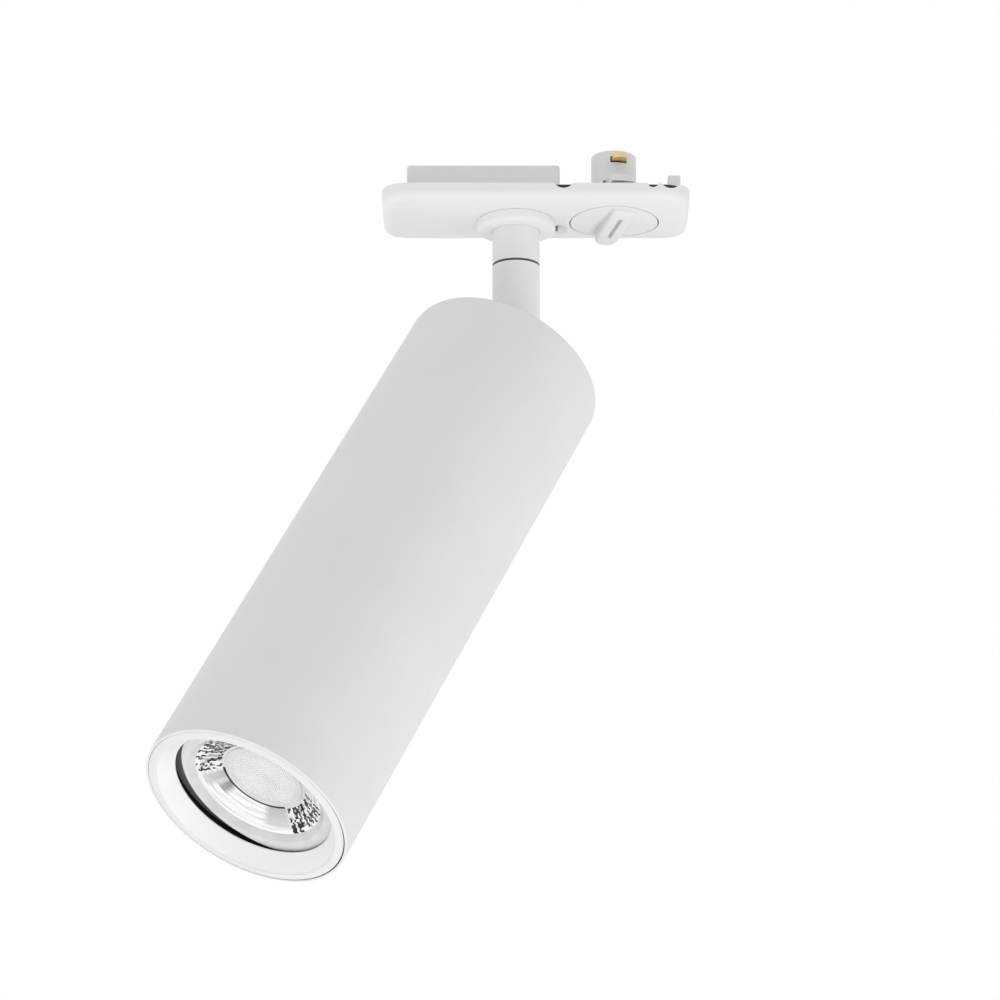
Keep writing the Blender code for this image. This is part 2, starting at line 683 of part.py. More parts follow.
def latch_dial():
    """Dial flush with the arched underside, its lever below, and the hub that carries the rotor above."""
    radius = DIAL_DIAMETER / 2
    flange_low = floor_top + GAP
    flange_top = cover_under - GAP
    profile = [(0, flange_top + HUB_HEIGHT), (HUB_RADIUS, flange_top + HUB_HEIGHT), (HUB_RADIUS, flange_top),
               (radius + DIAL_FLANGE, flange_top), (radius + DIAL_FLANGE, flange_low), (radius, flange_low),
               (radius, underside - OVERCUT), (0, underside - OVERCUT)]
    dial = turned("latch_dial", profile, WHITE_PLASTIC, segments=FINE, parent=latch_axis)
    combine(dial, "INTERSECT", above_underside("dial_arch"))
    half = LEVER_WIDTH / 2
    tip = LEVER_LENGTH / 2
    outline = [(-half, -tip), (half, -tip)] + arc((0, tip - half), half, 0, 180, 12)
    lever = slab("lever", [outline], underside - LEVER_HEIGHT - OVERCUT, floor_top, parent=latch_axis)
    slope = (LEVER_HEIGHT - LEVER_LOW_END) / LEVER_LENGTH
    middle = underside - (LEVER_HEIGHT + LEVER_LOW_END) / 2
    lean = -math.degrees(math.atan(slope))
    ramp = block("lever_ramp", (-radius, -2 * tip, 0), (radius, 2 * tip, radius), parent=latch_axis,
                 at=(0, 0, middle), turn=(lean, 0, 0))
    combine(lever, "INTERSECT", ramp)
    round_edges(lever, LEVER_EDGE)
    top_trim = block("lever_trim", (-radius, -radius, floor_top - FLOOR / 4), (radius, radius, OVERCUT),
                     parent=latch_axis)
    cut(lever, top_trim)
    slot_half = LEVER_SLOT_WIDTH / 2
    slot = block("lever_slot", (-slot_half, -LEVER_SLOT_LENGTH / 2 - LEVER_SLOT_SHIFT, -2 * OVERCUT),
                 (slot_half, LEVER_SLOT_LENGTH / 2 - LEVER_SLOT_SHIFT, LEVER_SLOT_DEPTH),
                 parent=latch_axis, at=(0, 0, middle), turn=(lean, 0, 0))
    screw_bore = drum("dial_screw_bore", ROTOR_SCREW_RADIUS + GAP, floor_top, 2 * HUB_HEIGHT, segments=COARSE,
                      parent=latch_axis)
    join(dial, lever)
    cut(dial, slot, screw_bore)


def rotor():
    """Insulating column on the dial's hub, slotted for the lock wing and pocketed for the contacts."""
    radius = COLUMN_DIAMETER / 2
    foot = cover_under
    socket = HUB_RADIUS + GAP
    socket_top = cover_under - GAP + HUB_HEIGHT + GAP
    bore = ROTOR_SCREW_RADIUS + GAP
    head = ROTOR_SCREW_HEAD + GAP
    head_seat = COLUMN_TOP - SCREW_HEAD_HEIGHT - GAP
    profile = [(radius, COLUMN_TOP), (radius, foot), (socket, foot), (socket, socket_top), (bore, socket_top),
               (bore, head_seat - GAP), (head, head_seat - GAP), (head, COLUMN_TOP)]
    column = turned("rotor_column", profile, WHITE_PLASTIC, parent=latch_axis)
    wing_slot = block("wing_slot", (-WING_WIDTH / 2 - GAP, -WING_SPAN, LIP_SPACE - GAP),
                      (WING_WIDTH / 2 + GAP, WING_SPAN, LIP_SPACE + WING_THICKNESS + GAP), parent=latch_axis)
    cut(column, wing_slot)
    half = WING_WIDTH / 2
    tip = WING_SPAN / 2
    wing_end = arc((0, 0), tip, 90 - 15, 90 + 15, 4)
    wing_outline = [(half, -half), (half, half), *wing_end, (-half, half), (-half, -half)]
    wing_outline += [(-x, -y) for x, y in wing_end]
    slab("lock_wing", [wing_outline, circle(bore, segments=COARSE)], LIP_SPACE, LIP_SPACE + WING_THICKNESS,
         STEEL, parent=latch_axis)
    half = CONTACT_WIDTH / 2
    for name, low, side in (("live", LIVE_HEIGHT, 1), ("neutral", NEUTRAL_HEIGHT, -1)):
        start = bore + GAP
        outline = [(-half, start), (half, start)] + arc((0, CONTACT_REACH - half), half, 0, 180, 8)
        turn = (0, 0, 90 - 90 * side)
        high = low + CONTACT_THICKNESS
        pocket = block(f"{name}_pocket", (-half - GAP, start - GAP, low - GAP),
                       (half + GAP, CONTACT_REACH, high + GAP), parent=latch_axis, turn=turn)
        cut(column, pocket)
        slab(f"{name}_contact", [outline], low, high, BRASS, parent=latch_axis, turn=turn)
    length = head_seat - cover_under - GAP
    screw("rotor_screw", ROTOR_SCREW_HEAD, SCREW_HEAD_HEIGHT, ROTOR_SCREW_RADIUS, length, parent=latch_axis,
          at=(0, 0, head_seat))


# Places along the head, measured up the tube's axis from the tilt pivot
back = -PIVOT_TO_BACK
front = back - HEAD_LENGTH
tube_front = front + BEZEL_PROUD
tube_radius = TUBE_DIAMETER / 2
tube_bore = tube_radius - TUBE_WALL
bezel_radius = tube_radius - FRONT_RIM_WALL
bezel_seat = front + BEZEL_SEAT
cap_top = back - REAR_RECESS
cap_low = cap_top - REAR_CAP_THICKNESS
cap_bore = tube_radius - REAR_RIM_WALL
lens_front = front + BEZEL_DEPTH + LENS_SETBACK
flange_back = lens_front + LENS_FLANGE
cone_back = flange_back + LENS_CONE_LENGTH
led_holder_low = cone_back + LED_RECESS
board_low = led_holder_low + LED_HOLDER_FRONT + GAP
pad_low = board_low + LED_THICKNESS + GAP
sink_low = pad_low + PAD_THICKNESS + GAP
driver_top = cap_low - DRIVER_HEADROOM
driver_low = driver_top - DRIVER_LENGTH
bracket_top = driver_low - DRIVER_STANDOFF
sink_top = bracket_top - BRACKET_THICKNESS - GAP


def ring_places(count, radius, start):
    """Points spaced evenly round the head's axis."""
    angles = [math.radians(start + 360 * i / count) for i in range(count)]
    return [(radius * math.cos(a), radius * math.sin(a)) for a in angles]


def head_tube():
    edge = REAR_EDGE
    rim = arc((tube_radius - edge, back - edge), edge, 90, 0, 4)
    profile = rim + [(tube_radius, tube_front + GAP), (tube_radius - GAP, tube_front),
                     (bezel_radius + GAP, tube_front), (bezel_radius + GAP, bezel_seat + GAP),
                     (tube_bore, bezel_seat + GAP), (tube_bore, cap_low - GAP), (cap_bore, cap_low - GAP),
                     (cap_bore, back - edge / 3), (cap_bore + edge / 9, back)]
    turned("head_tube", profile, WHITE_PAINT, segments=FINE, parent=tilt_axis)


def front_bezel():
    """Inset ring: rounded lip, flared inner wall and a skirt that slides into the tube."""
    outer, edge = bezel_radius, BEZEL_EDGE
    lip = bezel_radius - BEZEL_LIP
    mouth = BEZEL_MOUTH / 2
    skirt = tube_bore - GAP
    skirt_bore = skirt - BEZEL_SKIRT_WALL
    throat = front + BEZEL_DEPTH
    profile = [(skirt, front + BEZEL_SKIRT), (skirt, bezel_seat), (outer, bezel_seat)]
    profile += arc((outer - edge, front + edge), edge, 0, -90, 3)
    profile += arc((lip + edge, front + edge), edge, 270, 211, 2)
    profile += [(mouth, throat - GAP), (mouth, throat), (skirt_bore, throat + 2 * GAP),
                (skirt_bore, front + BEZEL_SKIRT)]
    turned("front_bezel", profile, WHITE_PLASTIC, segments=FINE, parent=tilt_axis)


def collimator_lens():
    """Clear lens: flange and shoulder, faceted bowl with staggered rings, rear cone and LED pocket."""
    rim, bowl, floor = LENS_DIAMETER / 2, BOWL_DIAMETER / 2, BOWL_FLOOR_DIAMETER / 2
    bowl_top = lens_front + SHOULDER_DEPTH
    pocket_roof = cone_back - LENS_POCKET_DEPTH
    profile = [(0, pocket_roof), (LENS_POCKET_RADIUS, pocket_roof), (LENS_POCKET_RADIUS, cone_back),
               (LENS_CONE_REAR, cone_back), (LENS_CONE_FRONT, flange_back), (rim, flange_back),
               (rim, lens_front), (SHOULDER_DIAMETER / 2, lens_front)]
    rows = range(BOWL_ROWS + 1)
    bowl_rings = [(bowl + (floor - bowl) * i / BOWL_ROWS,
                   bowl_top + BOWL_DEPTH * (i / BOWL_ROWS) ** BOWL_CURVE) for i in rows]
    profile += bowl_rings + [(0, bowl_top + BOWL_DEPTH)]
    lens = turned("collimator_lens", profile, CLEAR, segments=BOWL_FACETS, parent=tilt_axis)
    half_facet = Matrix.Rotation(math.pi / BOWL_FACETS, 3, "Z")
    mesh = bake(lens)
    for ring_radius, ring_height in bowl_rings[1:-1:2]:
        for vertex in mesh.vertices:
            at_ring = abs(math.hypot(vertex.co.x, vertex.co.y) - ring_radius) < GAP / 10
            if at_ring and abs(vertex.co.z - ring_height) < GAP / 10:
                vertex.co = half_facet @ vertex.co
    side = math.radians(LIFT_SIDE)
    kept = circle(LIFT_RADIUS, (-LIFT_SHIFT * math.cos(side), -LIFT_SHIFT * math.sin(side)), FINE)
    cut(lens, slab("lens_lift", [circle(LENS_DIAMETER), kept], lens_front - OVERCUT, flange_back + OVERCUT,
                   parent=tilt_axis))


def lens_holder():
    """Dark cup round the lens cone: rim under the lens flange, foot on the LED holder."""
    slope = (LENS_CONE_FRONT - LENS_CONE_REAR) / LENS_CONE_LENGTH
    rim_low = flange_back + GAP
    rim_top = rim_low + HOLDER_RIM
    rim_outer = tube_bore - GAP - BEZEL_SKIRT_WALL - GAP
    inner_front = LENS_CONE_FRONT + GAP
    inner_rear = LENS_CONE_REAR + 2 * GAP
    outer_rear = inner_rear + HOLDER_WALL
    foot = led_holder_low - GAP
    neck = foot - HOLDER_FOOT
    outer_front = outer_rear + slope * (neck - rim_top)
    profile = [(outer_rear, foot), (outer_rear, neck), (outer_front, rim_top), (rim_outer, rim_top),
               (rim_outer, rim_low), (inner_front, rim_low), (inner_rear, cone_back), (inner_rear, foot)]
    turned("lens_holder", profile, BLACK_PLASTIC, segments=MEDIUM, parent=tilt_axis)


def light_engine():
    """LED board with its phosphor, thermal pad, holder and holder screws, on the heat sink's face."""
    half = LED_SIZE / 2
    block("led_board", (-half, -half, board_low), (half, half, board_low + LED_THICKNESS), CERAMIC,
          parent=tilt_axis)
    drum("led_phosphor", PHOSPHOR_RADIUS, board_low - GAP - PHOSPHOR_HEIGHT, board_low - GAP, PHOSPHOR,
         segments=MEDIUM, parent=tilt_axis)
    block("thermal_pad", (-half, -half, pad_low), (half, half, pad_low + PAD_THICKNESS), PAD_GREY,
          parent=tilt_axis)
    holder_top = sink_low - GAP
    holder = slab("led_holder", [circle(LED_HOLDER_RADIUS, segments=FINE), circle(LED_HOLDER_WINDOW)],
                  led_holder_low, holder_top, WHITE_PLASTIC, parent=tilt_axis)
    nest = half + GAP
    cut(holder, block("led_nest", (-nest, -nest, board_low - GAP), (nest, nest, sink_low), parent=tilt_axis))
    for i, x in enumerate((-HOLDER_SCREW_OFFSET, HOLDER_SCREW_OFFSET), 1):
        cut(holder, drum(f"holder_screw_hole_{i}", SCREW_RADIUS + GAP, led_holder_low - OVERCUT, sink_low,
                         segments=COARSE, parent=tilt_axis, at=(x, 0, 0)))
        length = holder_top - led_holder_low + 2 * GAP + HOLDER_SCREW_BITE
        screw(f"holder_screw_{i}", SCREW_HEAD_RADIUS, SCREW_HEAD_HEIGHT, SCREW_RADIUS, length,
              parent=tilt_axis, at=(x, 0, led_holder_low - GAP), turn=(180, 0, 0))


def heat_sink():
    """Turned base and core with radial fins, drilled for the holder screws and the LED leads."""
    outer = tube_bore - GAP
    base_top = sink_low + SINK_BASE
    profile = [(0, sink_top), (SINK_CORE_RADIUS, sink_top), (SINK_CORE_RADIUS, base_top), (outer, base_top),
               (outer, sink_low), (0, sink_low)]
    sink = turned("heat_sink", profile, ALUMINIUM, segments=FINE, parent=tilt_axis)
    half = FIN_THICKNESS / 2
    for i in range(SINK_FINS):
        angle = 360 * (i + 0.5) / SINK_FINS
        fin = block(f"fin_{i}", (SINK_CORE_RADIUS / 2, -half, base_top - SINK_BASE / 4),
                    (outer - FIN_INSET, half, sink_top - FIN_INSET), parent=tilt_axis, turn=(0, 0, angle))
        join(sink, fin)
    for i, x in enumerate((-HOLDER_SCREW_OFFSET, HOLDER_SCREW_OFFSET), 1):
        cut(sink, drum(f"sink_screw_hole_{i}", SCREW_RADIUS + GAP, sink_low - OVERCUT,
                       sink_low + HOLDER_SCREW_BITE + 2 * GAP, segments=COARSE, parent=tilt_axis,
                       at=(x, 0, 0)))
        lead_x = math.copysign(LED_LEAD_OFFSET, x)
        cut(sink, drum(f"sink_lead_hole_{i}", LEAD_RADIUS + 2 * GAP, sink_low - OVERCUT, base_top + OVERCUT,
                       segments=COARSE, parent=tilt_axis, at=(lead_x, LED_LEAD_CIRCLE, 0)))
    cut(sink, drum("bracket_screw_hole", SCREW_RADIUS + GAP, sink_top - BRACKET_SCREW_LENGTH,
                   sink_top + OVERCUT, segments=COARSE, parent=tilt_axis))


def driver():
    """LED driver on a folded bracket that stands on the heat sink's core."""
    half_x, half_y = DRIVER_WIDTH / 2, DRIVER_DEPTH / 2
    case = block("driver_case", (-half_x, -half_y, driver_low), (half_x, half_y, driver_top), WHITE_PLASTIC,
                 parent=tilt_axis)
    round_edges(case, DRIVER_EDGE, 2)
    side = -half_y - GAP
    screw_height = bracket_top + BRACKET_SCREW_HEIGHT
    bracket = block("driver_bracket", (-BRACKET_WIDTH / 2, side - BRACKET_THICKNESS, sink_top + GAP),
                    (BRACKET_WIDTH / 2, SINK_CORE_RADIUS, bracket_top), ALUMINIUM, parent=tilt_axis)
    upright = block("bracket_upright", (-BRACKET_WIDTH / 2, side - BRACKET_THICKNESS, sink_top + 2 * GAP),
                    (BRACKET_WIDTH / 2, side, bracket_top + BRACKET_LENGTH), parent=tilt_axis)
    hole = SCREW_RADIUS + GAP
    base_hole = drum("bracket_base_hole", hole, sink_top, bracket_top + OVERCUT, segments=COARSE,
                     parent=tilt_axis)
    side_hole = drum("bracket_side_hole", hole, 0, 2 * BRACKET_SCREW_LENGTH, segments=COARSE,
                     parent=tilt_axis, at=(0, side + BRACKET_SCREW_LENGTH, screw_height), turn=(90, 0, 0))
    cut(join(bracket, upright), base_hole, side_hole)
    cut(case, drum("case_screw_hole", hole, -BRACKET_SCREW_LENGTH, BRACKET_SCREW_LENGTH, segments=COARSE,
                   parent=tilt_axis, at=(0, side, screw_height), turn=(90, 0, 0)))
    screw("bracket_screw_base", SCREW_HEAD_RADIUS, SCREW_HEAD_HEIGHT, SCREW_RADIUS,
          BRACKET_SCREW_LENGTH + BRACKET_THICKNESS, parent=tilt_axis, at=(0, 0, bracket_top + GAP))
    screw("bracket_screw_side", SCREW_HEAD_RADIUS, SCREW_HEAD_HEIGHT, SCREW_RADIUS, BRACKET_SCREW_LENGTH,
          parent=tilt_axis, at=(0, side - BRACKET_THICKNESS - GAP, screw_height), turn=(90, 0, 0))
    half_terminal = DRIVER_TERMINAL_WIDTH / 2
    depth = DRIVER_TERMINAL_DEPTH
    output_top = driver_low - GAP
    block("driver_output", (-half_terminal, half_y - depth, output_top - DRIVER_TERMINAL_HEIGHT),
          (half_terminal, half_y, output_top), BLACK_PLASTIC, parent=tilt_axis)
    input_low = driver_top + GAP
    block("driver_input", (-half_terminal, -depth / 2, input_low),
          (half_terminal, depth / 2, input_low + DRIVER_TERMINAL_HEIGHT), BLACK_PLASTIC, parent=tilt_axis)


def head_leads():
    """Leads from the LED holder through the sink to the driver, and from the driver to the cap's grommet."""
    terminal_face = DRIVER_DEPTH / 2 + GAP
    output_height = driver_low - GAP - DRIVER_TERMINAL_HEIGHT / 2
    holder_height = (led_holder_low + sink_low) / 2 - GAP
    for name, side, finish in (("plus", 1, LEAD_RED), ("minus", -1, LEAD_BLACK)):
        x, far = side * LED_LEAD_OFFSET, LED_LEAD_CIRCLE
        near = math.sqrt(LED_HOLDER_RADIUS ** 2 - x ** 2) + GAP
        points = [(x, near, holder_height), (x, far, holder_height + 2 * LEAD_RADIUS),
                  (x, far, sink_low + SINK_BASE), (x, far, sink_top),
                  (x, (far + terminal_face) / 2, output_height), (x, terminal_face, output_height)]
        lead(f"led_lead_{name}", points, finish, parent=tilt_axis)
    input_top = driver_top + 2 * GAP + DRIVER_TERMINAL_HEIGHT
    for name, side, finish in (("live", 1, LEAD_BROWN), ("neutral", -1, LEAD_BLUE)):
        y = side * (LEAD_RADIUS + GAP)
        x = DRIVER_TERMINAL_WIDTH / 3
        points = [(x, 2 * y, input_top), (x, 2 * y, input_top + 4 * LEAD_RADIUS),
                  (CABLE_HOLE_OFFSET, y, cap_low - 4 * LEAD_RADIUS), (CABLE_HOLE_OFFSET, y, cap_top)]
        lead(f"mains_lead_{name}", points, finish, parent=tilt_axis)


def rear_end():
    """Recessed cap, the ring its screws pull on, and the grommet the supply flex would enter by."""
    ring_radius = tube_bore - GAP
    places = ring_places(CAP_SCREWS, ring_radius - MOUNT_RING_WIDTH / 2, 60)
    cap_radius = cap_bore - GAP
    cap = turned("rear_cap", [(0, cap_top), (cap_radius, cap_top), (cap_radius, cap_low), (0, cap_low)],
                 WHITE_PAINT, segments=FINE, parent=tilt_axis)
    ring_top = cap_low - MOUNT_RING_DROP
    ring_low = ring_top - MOUNT_RING_HEIGHT
    ring = slab("mount_ring", [circle(ring_radius, segments=FINE),
                               circle(ring_radius - MOUNT_RING_WIDTH, segments=FINE)],
                ring_low, ring_top, ALUMINIUM, parent=tilt_axis)
    for i, (x, y) in enumerate(places, 1):
        bore = drum(f"cap_screw_bore_{i}", SCREW_RADIUS + GAP, ring_low - OVERCUT, cap_top + OVERCUT,
                    segments=COARSE, parent=tilt_axis, at=(x, y, 0))
        cut(cap, bore)
        cut(ring, bore)
        screw(f"cap_screw_{i}", SCREW_HEAD_RADIUS, SCREW_HEAD_HEIGHT, SCREW_RADIUS, cap_top - ring_low - GAP,
              parent=tilt_axis, at=(x, y, cap_top + GAP))
    cable_hole = drum("cable_hole", CABLE_HOLE_RADIUS + GAP, cap_low - OVERCUT, cap_top + OVERCUT,
                      segments=COARSE, parent=tilt_axis, at=(CABLE_HOLE_OFFSET, 0, 0))
    cut(cap, cable_hole)
    lip = CABLE_HOLE_RADIUS + GROMMET_LIP
    profile = [(lip, cap_top + GAP + GROMMET_LIP), (lip, cap_top + GAP), (CABLE_HOLE_RADIUS, cap_top + GAP),
               (CABLE_HOLE_RADIUS, cap_low), (CABLE_BORE_RADIUS, cap_low),
               (CABLE_BORE_RADIUS, cap_top + GAP + GROMMET_LIP)]
    turned("cable_grommet", profile, RUBBER, segments=COARSE, parent=tilt_axis, at=(CABLE_HOLE_OFFSET, 0, 0))
    return cap


def hinge(cap):
    """Yoke on the rear cap: two round ears, a stop web, and the bolt that clamps the stem's tongue."""
    tongue_radius = STEM_DIAMETER / 2
    base_top = -tongue_radius - YOKE_CLEARANCE
    base_low = cap_top + GAP
    washer_near = TONGUE_THICKNESS / 2 + GAP
    ear_near = washer_near + HINGE_WASHER_THICKNESS + GAP
    ear_far = ear_near + EAR_THICKNESS
    web_near = tongue_radius + GAP
    web_far = web_near + STOP_WEB
    yoke = block("hinge_yoke", (-tongue_radius, -ear_far, base_low), (web_far, ear_far, base_top),
                 WHITE_PAINT, parent=tilt_axis)
    upright = Matrix.Rotation(math.radians(90), 4, "X")
    outline = [(-tongue_radius, base_top - GAP), (tongue_radius, base_top - GAP)]
    outline += arc((0, 0), EAR_RADIUS, 0, 180, 16)
    for side, low in (("left", ear_near), ("right", -ear_far)):
        join(yoke, slab(f"ear_{side}", [outline], low, low + EAR_THICKNESS, frame=upright, parent=tilt_axis))
    web = block("stop_web", (web_near, -ear_far + GAP, base_top - GAP),
                (web_far, ear_far - GAP, STOP_WEB_HEIGHT), parent=tilt_axis)
    join(yoke, web)
    bolt_hole = drum("yoke_bolt_hole", HINGE_BOLT_RADIUS + GAP, -2 * ear_far, 2 * ear_far, segments=COARSE,
                     parent=tilt_axis, turn=(90, 0, 0))
    cut(yoke, bolt_hole)
    for i, x in enumerate((-YOKE_SCREW_SPACING / 2, YOKE_SCREW_SPACING / 2), 1):
        bore = drum(f"yoke_screw_bore_{i}", SCREW_RADIUS + GAP, cap_low - OVERCUT, base_top - 3 * GAP,
                    segments=COARSE, parent=tilt_axis, at=(x, 0, 0))
        cut(yoke, bore)
        cut(cap, bore)
        screw(f"yoke_screw_{i}", SCREW_HEAD_RADIUS, SCREW_HEAD_HEIGHT, SCREW_RADIUS,
              base_top - cap_low - 3 * GAP, parent=tilt_axis, at=(x, 0, cap_low - GAP), turn=(180, 0, 0))
    for side, low in (("left", washer_near), ("right", -washer_near - HINGE_WASHER_THICKNESS)):
        washer(f"hinge_washer_{side}", HINGE_WASHER_RADIUS, HINGE_BOLT_RADIUS + GAP, low,
               low + HINGE_WASHER_THICKNESS, BLACK_PLASTIC, frame=upright, parent=tilt_axis)
    head = -ear_far - GAP
    tail = 2 * ear_far + 2 * GAP + HINGE_NUT_HEIGHT
    screw("hinge_bolt", HINGE_HEAD_RADIUS, HINGE_HEAD_HEIGHT, HINGE_BOLT_RADIUS, tail, parent=tilt_axis,
          at=(0, head, 0), turn=(90, 0, 0))
    nut("hinge_nut", HINGE_NUT_RADIUS, HINGE_BOLT_RADIUS + GAP, -ear_far - GAP - HINGE_NUT_HEIGHT,
        -ear_far - GAP, frame=upright, parent=tilt_axis)


adapter_housing()
adapter_cover()
cover_screws()
earth_spring()
supply_leads(*terminal_block(), nipple_end)
stem_flange()
stem_upper()
swivel_parts()
stem_lower()
latch_dial()
rotor()
head_tube()
front_bezel()
collimator_lens()
lens_holder()
light_engine()
heat_sink()
driver()
head_leads()
hinge(rear_end())
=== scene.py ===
"""Track spotlight: fine copies of its visible pieces, procedural finishes, a plain studio. Millimetres."""

import json
import math
import random

import bmesh
import bpy
from mathutils import Matrix, Vector


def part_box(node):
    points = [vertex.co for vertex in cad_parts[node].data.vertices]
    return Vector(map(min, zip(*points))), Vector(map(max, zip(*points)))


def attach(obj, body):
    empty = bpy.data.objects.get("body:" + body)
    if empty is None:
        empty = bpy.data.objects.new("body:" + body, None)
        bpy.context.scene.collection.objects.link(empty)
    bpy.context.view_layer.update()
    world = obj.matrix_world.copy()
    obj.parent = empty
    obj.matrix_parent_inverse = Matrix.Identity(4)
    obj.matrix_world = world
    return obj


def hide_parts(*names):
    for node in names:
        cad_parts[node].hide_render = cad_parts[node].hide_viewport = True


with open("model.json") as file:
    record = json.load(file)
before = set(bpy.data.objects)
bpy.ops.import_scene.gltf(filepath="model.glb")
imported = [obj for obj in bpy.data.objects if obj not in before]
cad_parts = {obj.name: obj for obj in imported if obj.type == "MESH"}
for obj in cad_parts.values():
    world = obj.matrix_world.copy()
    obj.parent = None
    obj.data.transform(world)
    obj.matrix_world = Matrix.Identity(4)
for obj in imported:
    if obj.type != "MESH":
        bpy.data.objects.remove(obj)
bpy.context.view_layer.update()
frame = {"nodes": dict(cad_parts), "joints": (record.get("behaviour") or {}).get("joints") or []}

scene = bpy.context.scene
MILLIMETRES = 1000
METRES = Matrix.Scale(1 / MILLIMETRES, 4)


def turn(angle, axis="Z"):
    return Matrix.Rotation(math.radians(angle), 4, axis)


def shift(x=0, y=0, z=0):
    return Matrix.Translation((x, y, z))


def node_box(node):
    """A CAD node's lowest and highest corners in millimetres."""
    low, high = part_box(node)
    return low * MILLIMETRES, high * MILLIMETRES


# Places of the bodies' own axes; latch and head are drawn at the start of their ranges, then turned to zero
joints = {joint["name"]: joint for joint in frame["joints"]}
hinge_axis = joints["tilt"]["axis"]
DIAL_X = joints["latch"]["pos_m"][0] * MILLIMETRES
PIVOT = joints["tilt"]["pos_m"][2] * MILLIMETRES
FIXED = Matrix()
PAN = turn(math.degrees(math.atan2(-hinge_axis[0], hinge_axis[1])))
TILT = shift(z=PIVOT) @ PAN @ turn(-joints["tilt"]["range_deg"][0], "Y")
LATCH = shift(DIAL_X) @ turn(-joints["latch"]["range_deg"][0])
UPRIGHT = turn(90, "X")

# Fits and small fillets shared by all pieces, and how near corners are welded
FIT = 0.3
CLOSE_FIT = 0.08
SMALL_EDGE, CRISP_EDGE = 0.2, 0.12
WELD = 0.002

# How far a cutting tool stands past what it cuts, and how deep a joined shape stands in the other
PAST = 2
SUNK = 0.5

# Degrees between a fillet's points
FILLET_STEP = 18


# Shapes

def arc(centre, radius, start, end, steps):
    angles = [math.radians(start + (end - start) * i / steps) for i in range(steps + 1)]
    return [(centre[0] + radius * math.cos(a), centre[1] + radius * math.sin(a)) for a in angles]


def circle(radius, steps, centre=(0, 0)):
    return arc(centre, radius, 0, 360, steps)[:-1]


def bow_radius(half, rise):
    """Radius of an arc from its half width and its rise."""
    return (half ** 2 + rise ** 2) / (2 * rise)


def rounded_box(left, right, near, far, radius, steps):
    corners = ((right - radius, far - radius, 0), (left + radius, far - radius, 90),
               (left + radius, near + radius, 180), (right - radius, near + radius, 270))
    return [p for x, y, start in corners for p in arc((x, y), radius, start, start + 90, steps)]


def rounded(points):
    """A closed outline; a point's third number is the fillet of its corner."""
    out = []
    for i, point in enumerate(points):
        here = Vector(point[:2])
        if len(point) < 3:
            out.append(tuple(here))
            continue
        before = (Vector(points[i - 1][:2]) - here).normalized()
        after = (Vector(points[(i + 1) % len(points)][:2]) - here).normalized()
        half = before.angle(after) / 2
        centre = here + (before + after).normalized() * (point[2] / math.sin(half))
        reach = point[2] / math.tan(half)
        start, end = here + before * reach - centre, here + after * reach - centre
        sweep = math.atan2(start.x * end.y - start.y * end.x, start.dot(end))
        steps = max(2, math.ceil(abs(math.degrees(sweep)) / FILLET_STEP))
        for k in range(steps + 1):
            out.append(tuple(centre + Matrix.Rotation(sweep * k / steps, 2) @ start))
    return out


def lathe(points, steps):
    """An outline of (radius, height) turned about Z. It is closed by itself or by the axis."""
    bm = bmesh.new()
    rings = []
    for r, z in rounded(points):
        if r == 0:
            rings.append([bm.verts.new((0, 0, z))] * steps)
        else:
            rings.append([bm.verts.new((x, y, z)) for x, y in circle(r, steps)])
    closed = points[0][0] > 0 and points[-1][0] > 0
    for a, b in zip(rings, rings[1:] + rings[:closed]):
        for i in range(steps):
            j = (i + 1) % steps
            corners = list(dict.fromkeys((a[i], a[j], b[j], b[i])))
            if len(corners) > 2:
                bm.faces.new(corners)
    bmesh.ops.recalc_face_normals(bm, faces=bm.faces)
    return bm


def prism(outline, low, high):
    """A flat outline thickened along Z."""
    bm = bmesh.new()
    bottom = [bm.verts.new((x, y, low)) for x, y in outline]
    top = [bm.verts.new((x, y, high)) for x, y in outline]
    bm.faces.new(bottom[::-1])
    bm.faces.new(top)
    for i in range(len(outline)):
        j = (i + 1) % len(outline)
        bm.faces.new((bottom[i], bottom[j], top[j], top[i]))
    bmesh.ops.recalc_face_normals(bm, faces=bm.faces)
    return bm


def box(low, high):
    outline = [(low[0], low[1]), (high[0], low[1]), (high[0], high[1]), (low[0], high[1])]
    return prism(outline, low[2], high[2])


def placed(bm, matrix):
    bm.transform(matrix)
    return bm


def soften(bm, width, segments=3, angle=30, where=None):
    """Rounds the edges sharper than an angle; where, if given, picks among them by their middles."""
    edges = []
    for edge in bm.edges:
        sharp = edge.is_manifold and edge.calc_face_angle() > math.radians(angle)
        if sharp and (where is None or where((edge.verts[0].co + edge.verts[1].co) / 2)):
            edges.append(edge)
    bmesh.ops.bevel(bm, geom=edges, offset=width, segments=segments, profile=0.5, affect="EDGES",
                    clamp_overlap=True)
    return bm


def carve(bm, tool, how="DIFFERENCE"):
    """A Boolean of two meshes, which are used up."""
    pair = []
    for shape in (bm, tool):
        mesh = bpy.data.meshes.new("carve")
        shape.to_mesh(mesh)
        shape.free()
        pair.append(bpy.data.objects.new("carve", mesh))
        scene.collection.objects.link(pair[-1])
    step = pair[0].modifiers.new("carve", "BOOLEAN")
    step.operation = how
    step.object = pair[1]
    done = bmesh.new()
    done.from_object(pair[0], bpy.context.evaluated_depsgraph_get())
    for obj in pair:
        mesh = obj.data
        bpy.data.objects.remove(obj)
        bpy.data.meshes.remove(mesh)
    return done


def joined(bm, tool):
    return carve(bm, tool, "UNION")


def drill(bm, radius, low, high, at=(0, 0, 0), matrix=FIXED, steps=48):
    tool = prism(circle(radius, steps), low, high)
    return carve(bm, placed(tool, Matrix.Translation(at) @ matrix))


